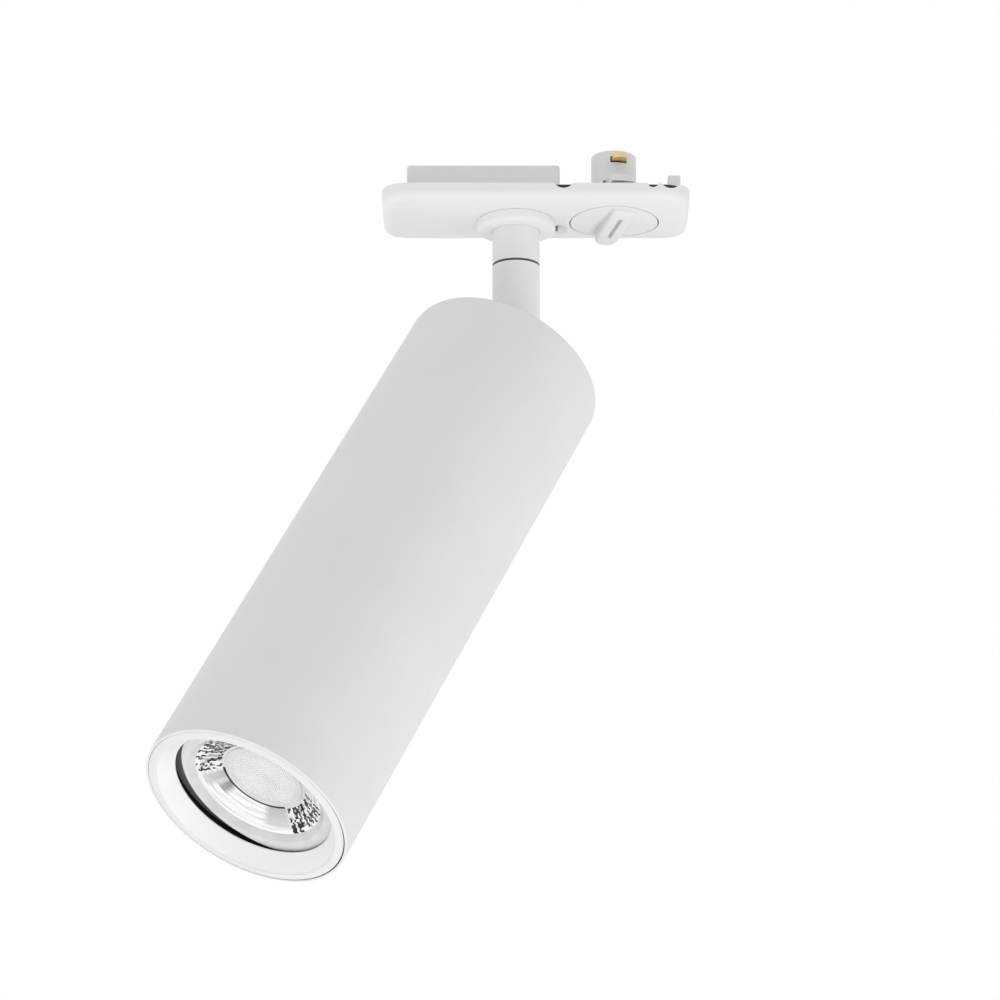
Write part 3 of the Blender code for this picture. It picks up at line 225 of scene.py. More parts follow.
def second_look_below(bm, height):
    """Gives the faces under a height the second of the piece's finishes."""
    for face in bm.faces:
        face.material_index = int(face.calc_center_median().z < height)


def piece(name, bm, place, body, look, slot, *nodes, sharp=32):
    """Puts a shape, its slivers welded away, in the row frame, on its body, in place of its CAD nodes."""
    bmesh.ops.remove_doubles(bm, verts=bm.verts, dist=WELD)
    bmesh.ops.dissolve_degenerate(bm, edges=bm.edges, dist=WELD)
    mesh = bpy.data.meshes.new(name)
    bm.to_mesh(mesh)
    bm.free()
    own = mesh.attributes.new("own", "FLOAT_VECTOR", "POINT")
    own.data.foreach_set("vector", [c for v in mesh.vertices for c in v.co])
    mesh.transform(METRES @ place)
    mesh.shade_smooth()
    mesh.set_sharp_from_angle(angle=math.radians(sharp))
    for finish in look if isinstance(look, list) else [look]:
        mesh.materials.append(finish)
    obj = bpy.data.objects.new(name, mesh)
    scene.collection.objects.link(obj)
    weigh = obj.modifiers.new("even shading", "WEIGHTED_NORMAL")
    weigh.keep_sharp = True
    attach(obj, body)
    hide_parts(*nodes)
    return obj


# Finishes; noise scales count per metre, tones drift a little, and whites are slightly warm
NOISE_SPAN = (0.3, 0.7)
DRIFT = 0.012
WARM = 0.004


class Finish:
    """A Principled material with short ways to add nodes."""

    def __init__(self, name, **sockets):
        self.material = bpy.data.materials.new(name)
        self.material.use_nodes = True
        self.tree = self.material.node_tree
        self.shader = self.tree.nodes["Principled BSDF"]
        for key, value in sockets.items():
            self.shader.inputs[key.replace("_", " ")].default_value = value

    def node(self, kind, **values):
        made = self.tree.nodes.new("ShaderNode" + kind)
        for key, value in values.items():
            if key in made.bl_rna.properties:
                setattr(made, key, value)
            else:
                made.inputs[key.replace("_", " ")].default_value = value
        return made

    def link(self, output, socket):
        self.tree.links.new(output, socket)

    def own_axes(self):
        """X, Y and Z in millimetres of the piece's own axes."""
        split = self.node("SeparateXYZ")
        self.link(self.node("Attribute", attribute_name="own").outputs["Vector"], split.inputs["Vector"])
        return split.outputs

    def noise(self, scale, detail=2.0, stretch=None):
        """Noise over the row frame, whose unit is the metre."""
        where = self.node("TexCoord").outputs["Object"]
        if stretch:
            squeeze = self.node("Mapping", Scale=stretch)
            self.link(where, squeeze.inputs["Vector"])
            where = squeeze.outputs["Vector"]
        made = self.node("TexNoise", Scale=scale, Detail=detail)
        self.link(where, made.inputs["Vector"])
        return made.outputs["Fac"]

    def ramp(self, factor, dark, light, span=NOISE_SPAN):
        """A blend over a span of the factor between two tones, each a grey or (r, g, b)."""
        made = self.node("ValToRGB")
        for element, place, tone in zip(made.color_ramp.elements, span, (dark, light)):
            element.position = place
            element.color = (*tone, 1) if isinstance(tone, tuple) else (tone, tone, tone, 1)
        self.link(factor, made.inputs["Fac"])
        return made.outputs["Color"]

    def math(self, operation, a, b=None):
        made = self.node("Math", operation=operation)
        for socket, value in zip(made.inputs, (a, b)):
            if isinstance(value, (int, float)):
                socket.default_value = value
            elif value is not None:
                self.link(value, socket)
        return made.outputs[0]

    def blend(self, factor, a, b):
        made = self.node("Mix", data_type="RGBA")
        for socket, value in ((made.inputs["Factor"], factor), (made.inputs[6], a), (made.inputs[7], b)):
            if isinstance(value, tuple):
                socket.default_value = (*value, 1)
            else:
                self.link(value, socket)
        return made.outputs[2]

    def colour(self, output):
        self.link(output, self.shader.inputs["Base Color"])

    def rough(self, factor, low, high):
        made = self.node("MapRange", To_Min=low, To_Max=high)
        self.link(factor, made.inputs["Value"])
        self.link(made.outputs["Result"], self.shader.inputs["Roughness"])

    def bump(self, height, depth):
        """Depth is in metres from the lowest to the highest height."""
        made = self.node("Bump", Distance=depth)
        self.link(height, made.inputs["Height"])
        self.link(made.outputs["Normal"], self.shader.inputs["Normal"])


def grey(value, warm=0.0):
    return (value, value - warm / 2, value - warm)


def painted(name, tone):
    """White powder coat: fine orange peel, a faint drift of tone, slightly uneven gloss."""
    f = Finish(name, Specular_IOR_Level=0.4)
    peel = f.noise(1500, 3)
    f.colour(f.ramp(f.noise(45), grey(tone - DRIFT, WARM), grey(tone + DRIFT, WARM)))
    f.rough(peel, 0.46, 0.58)
    f.bump(peel, 0.000012)
    return f.material


def moulded(name, tone, roughness=0.36, warm=WARM, grain=0.000006, painted_shade_below=None):
    """Injection-moulded plastic: a fine spark-eroded grain and soft flow marks, and black below a height as
    painted shade if a height is given.
    """
    f = Finish(name, Specular_IOR_Level=0.45)
    spark = f.noise(2600)
    flow = f.noise(60, 3, stretch=(1, 2.5, 1))
    drift = min(DRIFT, 0.3 * tone)
    pale = f.ramp(flow, grey(tone - drift, warm), grey(tone + drift, warm))
    # Painted shade: black below the given height of the piece's own axes
    if painted_shade_below is not None:
        pale = f.blend(f.math("GREATER_THAN", f.own_axes()["Z"], painted_shade_below), grey(0.02), pale)
    f.colour(pale)
    f.rough(spark, roughness, roughness + 0.12)
    f.bump(spark, grain)
    return f.material


def metal(name, dark, light, low, high, stretch):
    """Bare metal with fine lines and a little dulling; its roughness runs from low to high."""
    f = Finish(name, Metallic=1.0)
    lines = f.noise(900, 4, stretch)
    f.colour(f.blend(f.noise(120, 3), f.ramp(lines, dark, light), light))
    f.rough(lines, low, high)
    f.bump(lines, 0.000008)
    return f.material


def matt(name, dark, light):
    """Rubber, ceramic, sleeving and the like: mottled, with a fine tooth."""
    f = Finish(name, Specular_IOR_Level=0.3)
    mottle = f.noise(700, 4)
    f.colour(f.ramp(mottle, dark, light))
    f.rough(mottle, 0.55, 0.75)
    f.bump(mottle, 0.00003)
    return f.material


def painted_reflection_facets():
    """Metal-bright facets: each takes its own tone from the mesh, a painted reflection in black, white or
    grey, with a faint haze.
    """
    f = Finish("bowl facets with painted reflections", Metallic=1.0)
    tone = f.node("Attribute", attribute_name="facet").outputs["Fac"]
    haze = f.noise(900)
    f.colour(f.blend(f.math("MULTIPLY", haze, 0.06), f.ramp(tone, 0.005, 1.0, (0, 1)), grey(0.8)))
    f.rough(haze, 0.08, 0.16)
    return f.material


def bead_glass():
    """Clear moulded beads over a pale ground: bright, glossy, slightly cloudy."""
    f = Finish("lens beads", Specular_IOR_Level=0.6, Coat_Weight=0.4, Coat_Roughness=0.08)
    cloud = f.noise(420, 3)
    f.colour(f.ramp(cloud, 0.84, 0.92))
    f.rough(cloud, 0.16, 0.28)
    return f.material


def lens_rim():
    """Polished clear flange over a pale seat, with faint turned rings."""
    f = Finish("lens flange", Specular_IOR_Level=0.6, Coat_Weight=0.8, Coat_Roughness=0.04)
    x, y, _ = f.own_axes()
    radius = f.math("SQRT", f.math("ADD", f.math("MULTIPLY", x, x), f.math("MULTIPLY", y, y)))
    rings = f.math("SINE", f.math("MULTIPLY", radius, 14.0))
    cloud = f.noise(160, 3)
    f.colour(f.ramp(f.math("ADD", f.math("MULTIPLY", rings, 0.06), cloud), 0.56, 0.67))
    f.rough(cloud, 0.08, 0.2)
    f.bump(rings, 0.00001)
    return f.material


WHITE_PAINT = painted("white powder coat", 0.80)
# Painted light: the stem and rosette take a lighter copy of the tube's white powder coat
STEM_PAINT_PAINTED_LIGHT = painted("white stem coat with painted light", 0.86)
WHITE_PLASTIC = moulded("white moulding", 0.82)
# Painted shade: the plate is black below its top, so the rim notches look dark
PLATE_WHITE_PAINTED_SHADE = moulded("white plate with painted shade", 0.82, painted_shade_below=-0.1)
BEZEL_WHITE = moulded("white bezel", 0.88, roughness=0.30)
# Painted shade: the bezel's front face is a satin, darker copy of the bezel's white
BEZEL_FACE_PAINTED_SHADE = moulded("satin bezel face with painted shade", 0.73, roughness=0.42)
BLACK_PLASTIC = moulded("black moulding", 0.030, roughness=0.42, warm=0.0, grain=0.000015)
DARK_GREY = moulded("dark grey moulding", 0.26, roughness=0.45, warm=0.02, grain=0.000015)
STEEL = metal("zinc steel", grey(0.50), grey(0.66), 0.22, 0.38, (1, 1, 6))
BRASS = metal("brass", (0.62, 0.42, 0.16), (0.82, 0.62, 0.30), 0.2, 0.36, (4, 1, 1))
ALUMINIUM = metal("bare aluminium", grey(0.62), grey(0.78), 0.28, 0.44, (1, 1, 8))
RUBBER = matt("rubber", grey(0.025), grey(0.05))
PAINTED_REFLECTION_FACETS = painted_reflection_facets()
BEADS = bead_glass()
LENS_RIM = lens_rim()
DARK_LINE = matt("lens edge shade", grey(0.01), grey(0.03))


# Screws: head radius, head height, shank radius and length; a recess has shares of its head
ROTOR_SCREW = (2.6, 1.7, 1.4, 12.8)
CAP_SCREW = (2.7, 1.7, 1.5, 12.0)
HEAD_DOME, RECESS_REACH, RECESS_WIDTH = 0.55, 0.62, 0.2


def cross_recess(bm, top, reach, depth, width):
    """A cross-head recess in a face that looks up at the given height."""
    for angle in (0, 90):
        bar = box((-reach, -width / 2, top - depth), (reach, width / 2, top + PAST))
        bm = carve(bm, placed(bar, turn(angle)))
    return bm


def cap_screw(name, node, place, body, sizes):
    """A pan-head screw with a cross recess; its head stands on its own z = 0."""
    head, height, shank, length = sizes
    dome = HEAD_DOME * height
    bm = lathe([(0, height), (head, height, dome), (head, 0), (shank, 0), (shank, -length), (0, -length)], 48)
    bm = cross_recess(bm, height, RECESS_REACH * head, dome, RECESS_WIDTH * head)
    piece(name, bm, place, body, STEEL, "steel", node)


# Adapter
housing_low, housing_high = node_box("adapter_housing")
LEFT, RIGHT, SIDE = housing_low.x, housing_high.x, housing_high.y
UNDER = -5.7
CORNER, CORNER_STEPS = 7.0, 16
UNDER_EDGE = 2.6
ARCH_SAG = 1.1
ARCH = bow_radius(SIDE, ARCH_SAG)
ARCH_STRIPS, ARCH_STEPS, ARCH_OVERHANG = 26, 40, 3
RIM_WALL = 1.0
LEDGE_WALL = 2.2
FLOOR_TOP = UNDER + 2.0
PLATE_LOW = -1.6
# Notches in the rim: place along X, half width, depth
NOTCHES = ((12.9, 2.6, 1.5), (37.2, 1.55, 1.3), (41.9, 2.45, 1.5))
KEY_LEFT, KEY_LENGTH, KEY_NEAR, KEY_FAR = 11.5, 2.6, 2.5, 6.5
KEY_EDGE, KEY_SLIT, KEY_SLIT_RETURN = 0.3, 0.55, 0.9
ROSETTE = 10.85
TONGUE_LEFT, TONGUE_RIGHT, TONGUE_SIDE, TONGUE_TOP, TONGUE_WALL = -30, 12, 6.7, 9, 1.2
GUIDE_LENGTH, GUIDE_TOP = 3.5, 6
PLATE_EDGE, TONGUE_EDGE, GUIDE_EDGE = 0.1, 0.8, 0.5
SCREW_IN_X, SCREW_IN_Y = 4.6, 5.3
PLATE_SCREWS = (("left", LEFT + SCREW_IN_X, SCREW_IN_Y - SIDE),
                ("right", RIGHT - SCREW_IN_X, SIDE - SCREW_IN_Y))
SCREW_SHANK, SCREW_HEAD, SCREW_BITE, BOSS = 1.1, 2.2, 2.0, 2.6
SCREW_RECESS, SCREW_RECESS_DEPTH, SCREW_RECESS_WIDTH = 1.5, 0.8, 0.45
DIAL = 12
DIAL_GAP = 0.35
NIPPLE_HOLE = 3.8


def above_arch(lowered=0.0):
    """Everything above the arched underside."""
    reach = SIDE + ARCH_OVERHANG
    span = math.degrees(math.asin(reach / ARCH))
    outline = arc((0, UNDER + ARCH), ARCH + lowered, 270 - span, 270 + span, ARCH_STEPS)
    outline += [(reach, -UNDER), (-reach, -UNDER)]
    along_x = Matrix(((0, 0, 1, 0), (1, 0, 0, 0), (0, 1, 0, 0), (0, 0, 0, 1)))
    return placed(prism(outline, LEFT - ARCH_OVERHANG, RIGHT + ARCH_OVERHANG), along_x)


def adapter_outline(inset):
    return rounded_box(LEFT + inset, RIGHT - inset, -SIDE + inset, SIDE - inset, CORNER - inset, CORNER_STEPS)


def arched_block():
    """The housing's outside: a round-edged block whose lower part is lifted to the arch, strip by strip."""
    block = soften(prism(adapter_outline(0), UNDER, 0), UNDER_EDGE, 8, where=lambda p: p.z < UNDER / 2)
    for k in range(1, ARCH_STRIPS):
        everything = [*block.verts, *block.edges, *block.faces]
        bmesh.ops.bisect_plane(block, geom=everything, plane_co=(0, SIDE * (2 * k / ARCH_STRIPS - 1), 0),
                               plane_no=(0, 1, 0))
    for corner in block.verts:
        if corner.co.z < UNDER / 4:
            corner.co.z += ARCH - math.sqrt(ARCH ** 2 - corner.co.y ** 2)
    return soften(block, SMALL_EDGE, 2, where=lambda p: p.z > -CLOSE_FIT)


def keyed(shell):
    """Adds the key block beside the rosette and cuts the bracket-shaped slit round its end."""
    key = box((KEY_LEFT, KEY_NEAR, housing_low.z), (KEY_LEFT + KEY_LENGTH, KEY_FAR, FLOOR_TOP - SUNK))
    shell = joined(shell, soften(key, KEY_EDGE))
    outside, inside = KEY_LEFT - KEY_SLIT, KEY_LEFT + KEY_SLIT_RETURN
    near, far = KEY_NEAR - KEY_SLIT, KEY_FAR + KEY_SLIT
    slit = [(outside, near), (inside, near), (inside, KEY_NEAR), (KEY_LEFT, KEY_NEAR), (KEY_LEFT, KEY_FAR),
            (inside, KEY_FAR), (inside, far), (outside, far)]
    return carve(shell, prism(slit, UNDER - PAST, PAST))


def adapter_shell():
    """Hollow housing with bosses for the cover's screws, the dial's ring and the rim notches."""
    shell = carve(arched_block(), prism(adapter_outline(RIM_WALL), PLATE_LOW - FIT, PAST))
    shell = carve(shell, prism(adapter_outline(LEDGE_WALL), FLOOR_TOP, PAST))
    shell = keyed(shell)
    for _, x, y in PLATE_SCREWS:
        shell = joined(shell, prism(circle(BOSS, 32, (x, y)), FLOOR_TOP - SUNK, PLATE_LOW - 2 * FIT))
        shell = drill(shell, SCREW_SHANK + FIT, PLATE_LOW - SCREW_BITE - FIT, PAST, (x, y, 0))
    shell = drill(shell, DIAL + DIAL_GAP, 2 * UNDER, PAST, (DIAL_X, 0, 0), steps=128)
    shell = drill(shell, NIPPLE_HOLE, 2 * UNDER, PAST)
    for x, half, depth in NOTCHES:
        radius = bow_radius(half, depth)
        shell = drill(shell, radius, SIDE - 2 * LEDGE_WALL, SIDE + PAST, (x, 0, radius - depth), UPRIGHT)
    piece("adapter_shell", shell, FIXED, "adapter", WHITE_PLASTIC, "white_plastic", "adapter_housing")


def track_plate():
    """Cover with its tongue and guide, and the two screws sunk in it."""
    plate = prism(adapter_outline(RIM_WALL + FIT), PLATE_LOW, 0)
    soften(plate, PLATE_EDGE, 2, where=lambda p: p.z > -FIT)
    tongue = box((TONGUE_LEFT, -TONGUE_SIDE, PLATE_LOW / 2), (TONGUE_RIGHT, TONGUE_SIDE, TONGUE_TOP))
    guide_right = RIGHT - LEDGE_WALL
    guide = box((guide_right - GUIDE_LENGTH, -TONGUE_SIDE, PLATE_LOW / 2),
                (guide_right, TONGUE_SIDE, GUIDE_TOP))
    plate = joined(joined(plate, soften(tongue, TONGUE_EDGE, 5)), soften(guide, GUIDE_EDGE))
    hollow = box((TONGUE_LEFT + TONGUE_WALL, -TONGUE_SIDE + TONGUE_WALL, 2 * PLATE_LOW),
                 (TONGUE_RIGHT - TONGUE_WALL, TONGUE_SIDE - TONGUE_WALL, TONGUE_TOP - TONGUE_WALL))
    plate = drill(carve(plate, hollow), ROTOR + 2 * FIT, 2 * PLATE_LOW, PAST, (DIAL_X, 0, 0), steps=96)
    top = -FIT / 2
    head, shank, sink_low = SCREW_HEAD + FIT, SCREW_SHANK + FIT, 2 * PLATE_LOW
    for side, x, y in PLATE_SCREWS:
        sink = lathe([(0, PAST), (head, PAST), (head, top), (shank, top - head + shank), (shank, sink_low),
                      (0, sink_low)], 48)
        plate = carve(plate, placed(sink, shift(x, y)))
        screw = lathe([(0, top), (SCREW_HEAD, top), (SCREW_SHANK, top - SCREW_HEAD + SCREW_SHANK),
                       (SCREW_SHANK, PLATE_LOW - SCREW_BITE), (0, PLATE_LOW - SCREW_BITE)], 48)
        screw = cross_recess(screw, top, SCREW_RECESS, SCREW_RECESS_DEPTH, SCREW_RECESS_WIDTH)
        piece(f"plate_screw_{side}", screw, shift(x, y), "adapter", STEEL, "steel", f"cover_screw_{side}")
    # The plate's finish paints shade black below its top face
    piece("track_plate", plate, FIXED, "adapter", PLATE_WHITE_PAINTED_SHADE, "white_plastic", "adapter_cover")


def earth_strip():
    """Bowed brass strip on the tongue's far side."""
    half, bulge, thick = 7.5, 2.0, 0.5
    low, high = node_box("earth_spring")
    radius = bow_radius(half, bulge)
    span = math.degrees(math.asin(half / radius))
    centre = (TONGUE_LEFT / 2, TONGUE_SIDE + FIT + thick + bulge - radius)
    strip = arc(centre, radius, 90 - span, 90 + span, 24)
    strip += arc(centre, radius - thick, 90 + span, 90 - span, 24)
    strip = soften(prism(strip, low.z, high.z), CRISP_EDGE, 2, 50)
    piece("earth_strip", strip, FIXED, "adapter", BRASS, "brass", "earth_spring")


# Latch
DIAL_TOP = PLATE_LOW - FIT
DIAL_LEDGE, DIAL_EDGE = DIAL + 1.3, 0.15
HUB, HUB_TOP = 3.6, DIAL_TOP + 3.4
LEVER_HALF, LEVER_TIP = 3.25, 10.2
LEVER_HIGH, LEVER_LOW, LEVER_TURN, LEVER_EDGE = 3.2, 0.8, 3.5, 0.8
SLOT_HALF, SLOT_NEAR, SLOT_FAR, SLOT_DEPTH, SLOT_EDGE = 0.6, -6.5, 5.0, 1.5, 0.35
ROTOR, ROTOR_TOP, ROTOR_BORE, ROTOR_EDGE = 6.2, 13.5, 1.7, 0.5
WING_HALF, WING_TIP, WING_LOW, WING_TOP = 3.8, 12.2, 2.3, 4.5
WING_SPREAD, WING_EDGE = 15, 0.25
BLADE_HALF, BLADE_TIP, BLADE_THICK = 2.0, 9.6, 1.2
# Contact blades: name, lower face, direction
BLADES = (("live", 7.4, 0), ("neutral", 10.2, 180))
ROTOR_SCREW_SEAT, ROTOR_SCREW_POCKET = 11.5, 2.9


def latch_knob():
    """Dial flush with the underside, and a lever that rises from it like a ramp."""
    ledge_low = FLOOR_TOP + FIT
    dial = lathe([(0, HUB_TOP), (HUB, HUB_TOP, SMALL_EDGE), (HUB, DIAL_TOP), (DIAL_LEDGE, DIAL_TOP),
                  (DIAL_LEDGE, ledge_low), (DIAL, ledge_low), (DIAL, UNDER - PAST), (0, UNDER - PAST)], 128)
    dial = carve(dial, placed(above_arch(), LATCH.inverted()), "INTERSECT")
    soften(dial, DIAL_EDGE, where=lambda p: p.z < ledge_low - FIT)
    lean = -math.degrees(math.atan2(LEVER_HIGH - LEVER_LOW, 2 * LEVER_TIP))
    ramp = shift(z=UNDER - (LEVER_HIGH + LEVER_LOW) / 2) @ turn(lean, "X")
    outline = [(-LEVER_HALF, -LEVER_TIP), (LEVER_HALF, -LEVER_TIP)]
    outline += arc((0, LEVER_TIP - LEVER_HALF), LEVER_HALF, 0, 180, 24)
    lever = prism(outline, 2 * UNDER, FLOOR_TOP)
    lever = carve(lever, placed(box((-DIAL, -2 * DIAL, 0), (DIAL, 2 * DIAL, DIAL)), ramp), "INTERSECT")
    soften(lever, LEVER_EDGE, 6, where=lambda p: p.z < FLOOR_TOP - FIT)
    slot = box((-SLOT_HALF, SLOT_NEAR, -PAST), (SLOT_HALF, SLOT_FAR, SLOT_DEPTH))
    lever = carve(lever, placed(soften(slot, SLOT_EDGE), ramp))
    lever = carve(lever, box((-DIAL, -DIAL, FLOOR_TOP - SUNK), (DIAL, DIAL, 0)))
    knob = joined(dial, placed(lever, turn(LEVER_TURN)))
    knob = drill(knob, ROTOR_BORE, FLOOR_TOP, HUB_TOP + PAST, steps=32)
    piece("latch_knob", knob, LATCH, "latch", WHITE_PLASTIC, "white_plastic", "latch_dial")


def rotor():
    """Column on the dial, contact blades, lock wing and the screw that holds them."""
    seat = ROTOR_SCREW_SEAT - FIT
    column = lathe([(ROTOR, ROTOR_TOP, ROTOR_EDGE), (ROTOR, PLATE_LOW), (HUB + FIT, PLATE_LOW),
                    (HUB + FIT, HUB_TOP), (ROTOR_BORE, HUB_TOP), (ROTOR_BORE, seat),
                    (ROTOR_SCREW_POCKET, seat), (ROTOR_SCREW_POCKET, ROTOR_TOP, SMALL_EDGE)], 96)
    wide = WING_HALF + FIT
    column = carve(column, box((-wide, -2 * ROTOR, WING_LOW - FIT), (wide, 2 * ROTOR, WING_TOP + FIT)))
    wide = BLADE_HALF + FIT
    for name, low, side in BLADES:
        pocket = box((-wide, ROTOR_BORE, low - FIT), (wide, BLADE_TIP, low + BLADE_THICK + FIT))
        column = carve(column, placed(pocket, turn(side)))
        outline = [(-BLADE_HALF, ROTOR_BORE + FIT), (BLADE_HALF, ROTOR_BORE + FIT)]
        outline += arc((0, BLADE_TIP - BLADE_HALF), BLADE_HALF, 0, 180, 20)
        blade = soften(prism(outline, low, low + BLADE_THICK), SMALL_EDGE)
        piece(f"{name}_blade", placed(blade, turn(side)), LATCH, "latch", BRASS, "brass", f"{name}_contact")
    piece("rotor_post", column, LATCH, "latch", WHITE_PLASTIC, "white_plastic", "rotor_column")
    end = arc((0, 0), WING_TIP, 90 - WING_SPREAD, 90 + WING_SPREAD, 10)
    half = [(WING_HALF, -WING_HALF), (WING_HALF, WING_HALF), *end]
    wing = soften(prism(half + [(-x, -y) for x, y in half], WING_LOW, WING_TOP), WING_EDGE)
    wing = drill(wing, ROTOR_BORE, WING_LOW - PAST, WING_TOP + PAST, steps=32)
    piece("lock_bar", wing, LATCH, "latch", STEEL, "steel", "lock_wing")
    place = LATCH @ shift(z=ROTOR_SCREW_SEAT)
    cap_screw("rotor_fastener", "rotor_screw", place, "latch", ROTOR_SCREW)


# Stem
STEM = 6.5
ROSETTE_FOOT = UNDER - FIT - 2.4
ROSETTE_EDGE = 1.3
ROSETTE_ROOF = ROSETTE_FOOT + 1.2
SEAM, SEAM_GAP = -18.0, 0.5
SHOULDER = SEAM - SEAM_GAP - 3.0
SWIVEL_BORE = 5.2
NECK, NECK_EDGE = PIVOT + 8.0, 0.3
STEM_TONGUE_HALF, STEM_TONGUE_EDGE = 3.0, 0.35
BOLT_HOLE = 2.3
LEAD_EXIT, LEAD_BUSH, LEAD_BUSH_WALL = -28.5, 2.5, 0.8


def rosette():
    """Flange under the housing, cut to its arch."""
    socket = STEM + CLOSE_FIT
    shape = lathe([(ROSETTE, FLOOR_TOP), (ROSETTE, ROSETTE_FOOT, ROSETTE_EDGE),
                   (socket, ROSETTE_FOOT, CRISP_EDGE), (socket, ROSETTE_ROOF), (NIPPLE_HOLE, ROSETTE_ROOF),
                   (NIPPLE_HOLE, FLOOR_TOP)], 160)
    shape = carve(shape, above_arch(CLOSE_FIT))
    piece("rosette", shape, FIXED, "adapter", STEM_PAINT_PAINTED_LIGHT, "white_paint", "stem_flange")


def stem():
    """Fixed upper half, turning lower half with the hinge tongue, and the bush for the lead."""
    upper = lathe([(STEM, ROSETTE_ROOF - FIT), (STEM, SEAM, SMALL_EDGE), (NIPPLE_HOLE, SEAM),
                   (NIPPLE_HOLE, ROSETTE_ROOF - FIT)], 128)
    second_look_below(upper, SEAM + CLOSE_FIT)
    piece("stem_collar", upper, FIXED, "adapter", [STEM_PAINT_PAINTED_LIGHT, DARK_GREY], "white_paint", "stem_upper")
    top, bore_end = SEAM - SEAM_GAP, NECK + STEM / 2
    lower = lathe([(STEM, top, SMALL_EDGE), (STEM, NECK, NECK_EDGE), (0, NECK), (0, bore_end),
                   (SWIVEL_BORE, bore_end), (SWIVEL_BORE, SHOULDER), (NIPPLE_HOLE, SHOULDER),
                   (NIPPLE_HOLE, top)], 128)
    half, root = STEM - CLOSE_FIT, NECK + STEM / 4
    outline = [(half, root), (-half, root)] + arc((0, PIVOT), half, 180, 360, 48)
    tongue = placed(prism(outline, -STEM_TONGUE_HALF, STEM_TONGUE_HALF), UPRIGHT)
    lower = joined(lower, soften(tongue, STEM_TONGUE_EDGE))
    lower = drill(lower, BOLT_HOLE, -STEM, STEM, (0, 0, PIVOT), UPRIGHT)
    lower = drill(lower, LEAD_BUSH + CLOSE_FIT, 0, 2 * STEM, (0, 0, LEAD_EXIT), turn(90, "Y"))
    piece("stem_leg", lower, PAN, "swivel", STEM_PAINT_PAINTED_LIGHT, "white_paint", "stem_lower")
    face, bore = math.sqrt(STEM ** 2 - LEAD_BUSH ** 2), LEAD_BUSH - LEAD_BUSH_WALL
    bush = lathe([(LEAD_BUSH, face, SMALL_EDGE), (LEAD_BUSH, SWIVEL_BORE), (bore, SWIVEL_BORE),
                  (bore, face, SMALL_EDGE)], 48)
    place = PAN @ shift(z=LEAD_EXIT) @ turn(90, "Y")
    piece("stem_bush", bush, place, "swivel", RUBBER, "rubber", "stem_grommet")


# Head shell; the solids' round walls are many-sided, and these stay inside their flats
SOLID_SIDES = 42
FLATS = math.cos(math.pi / SOLID_SIDES)
TUBE = 27.5 * FLATS
TUBE_REAR_EDGE, TUBE_FRONT_EDGE = 0.9, 0.35
TUBE_BORE = 25.9
BEZEL = 26.65 * FLATS
BEZEL_LIP, BEZEL_EDGE, BEZEL_MOUTH = 2.1, 0.3, 21.35
BEZEL_SEAT, BEZEL_DEPTH, BEZEL_SKIRT = 3.3, 5.1, 9.0
BEZEL_SLOPE, BEZEL_WALL, BEZEL_LIP_EDGE, BEZEL_THROAT_EDGE = 0.5, 1.7, 0.6, 0.1
BEZEL_OFFSET, BEZEL_OFFSET_SIDE = 0.16, 110
# The bezel's looks: its white, a darker white as painted shade on the front face, and black as painted shade
# in the gaps
BEZEL_LOOKS = [BEZEL_WHITE, BEZEL_FACE_PAINTED_SHADE, BLACK_PLASTIC]
BACK = -9.2
FRONT = BACK - 161.5
TUBE_FRONT = FRONT + 0.4
CAP_TOP = BACK - 2.7
CAP_LOW = CAP_TOP - 3.0
CAP_BORE, CAP_BORE_EDGE = 26.5, 0.25


def head_shell():
    """Tube with a nest for the bezel in front and a wider bore for the cap behind."""
    nest = BEZEL + CLOSE_FIT / 2 + BEZEL_OFFSET
    seat = FRONT + BEZEL_SEAT + FIT
    ledge = CAP_LOW - FIT
    tube = lathe([(TUBE, BACK, TUBE_REAR_EDGE), (TUBE, TUBE_FRONT, TUBE_FRONT_EDGE),
                  (nest, TUBE_FRONT, CRISP_EDGE), (nest, seat), (TUBE_BORE, seat), (TUBE_BORE, ledge),
                  (CAP_BORE, ledge), (CAP_BORE, BACK, CAP_BORE_EDGE)], 192)
    # Painted shade: the tube's front end face takes the bezel face's darker white
    second_look_below(tube, TUBE_FRONT + CLOSE_FIT)
    piece("tube_shell", tube, TILT, "head", [WHITE_PAINT, BEZEL_FACE_PAINTED_SHADE], "white_paint", "head_tube")


def bezel():
    """Inset ring: satin lip darkened as painted shade, flared inner wall, black as painted shade where the
    gaps keep it out of sight. It sits a hair off centre.
    """
    skirt, throat = TUBE_BORE - FIT, FRONT + BEZEL_DEPTH
    skirt_bore = skirt - BEZEL_WALL
    end = FRONT + BEZEL_SKIRT
    ring = lathe([(skirt, end), (skirt, FRONT + BEZEL_SEAT), (BEZEL, FRONT + BEZEL_SEAT),
                  (BEZEL, FRONT + BEZEL_SLOPE, BEZEL_EDGE), (BEZEL - BEZEL_LIP, FRONT, BEZEL_LIP_EDGE),
                  (BEZEL_MOUTH, throat - FIT, CRISP_EDGE), (BEZEL_MOUTH, throat, BEZEL_THROAT_EDGE),
                  (skirt_bore, throat + 2 * FIT), (skirt_bore, end)], 192)
    # Painted shade: the faces behind the throat and the outer wall in the tube's nest are black, and the
    # front face takes the darker white
    for face in ring.faces:
        middle = face.calc_center_median()
        hidden = middle.z > throat or middle.xy.length > BEZEL - BEZEL_EDGE
        if middle.z < FRONT + BEZEL_SLOPE:
            face.material_index = BEZEL_LOOKS.index(BEZEL_FACE_PAINTED_SHADE)
        elif hidden and middle.z > FRONT + BEZEL_SLOPE + BEZEL_EDGE:
            face.material_index = BEZEL_LOOKS.index(BLACK_PLASTIC)
    place = TILT @ turn(BEZEL_OFFSET_SIDE) @ shift(BEZEL_OFFSET)
    piece("bezel_ring", ring, place, "head", BEZEL_LOOKS, "white_plastic", "front_bezel")


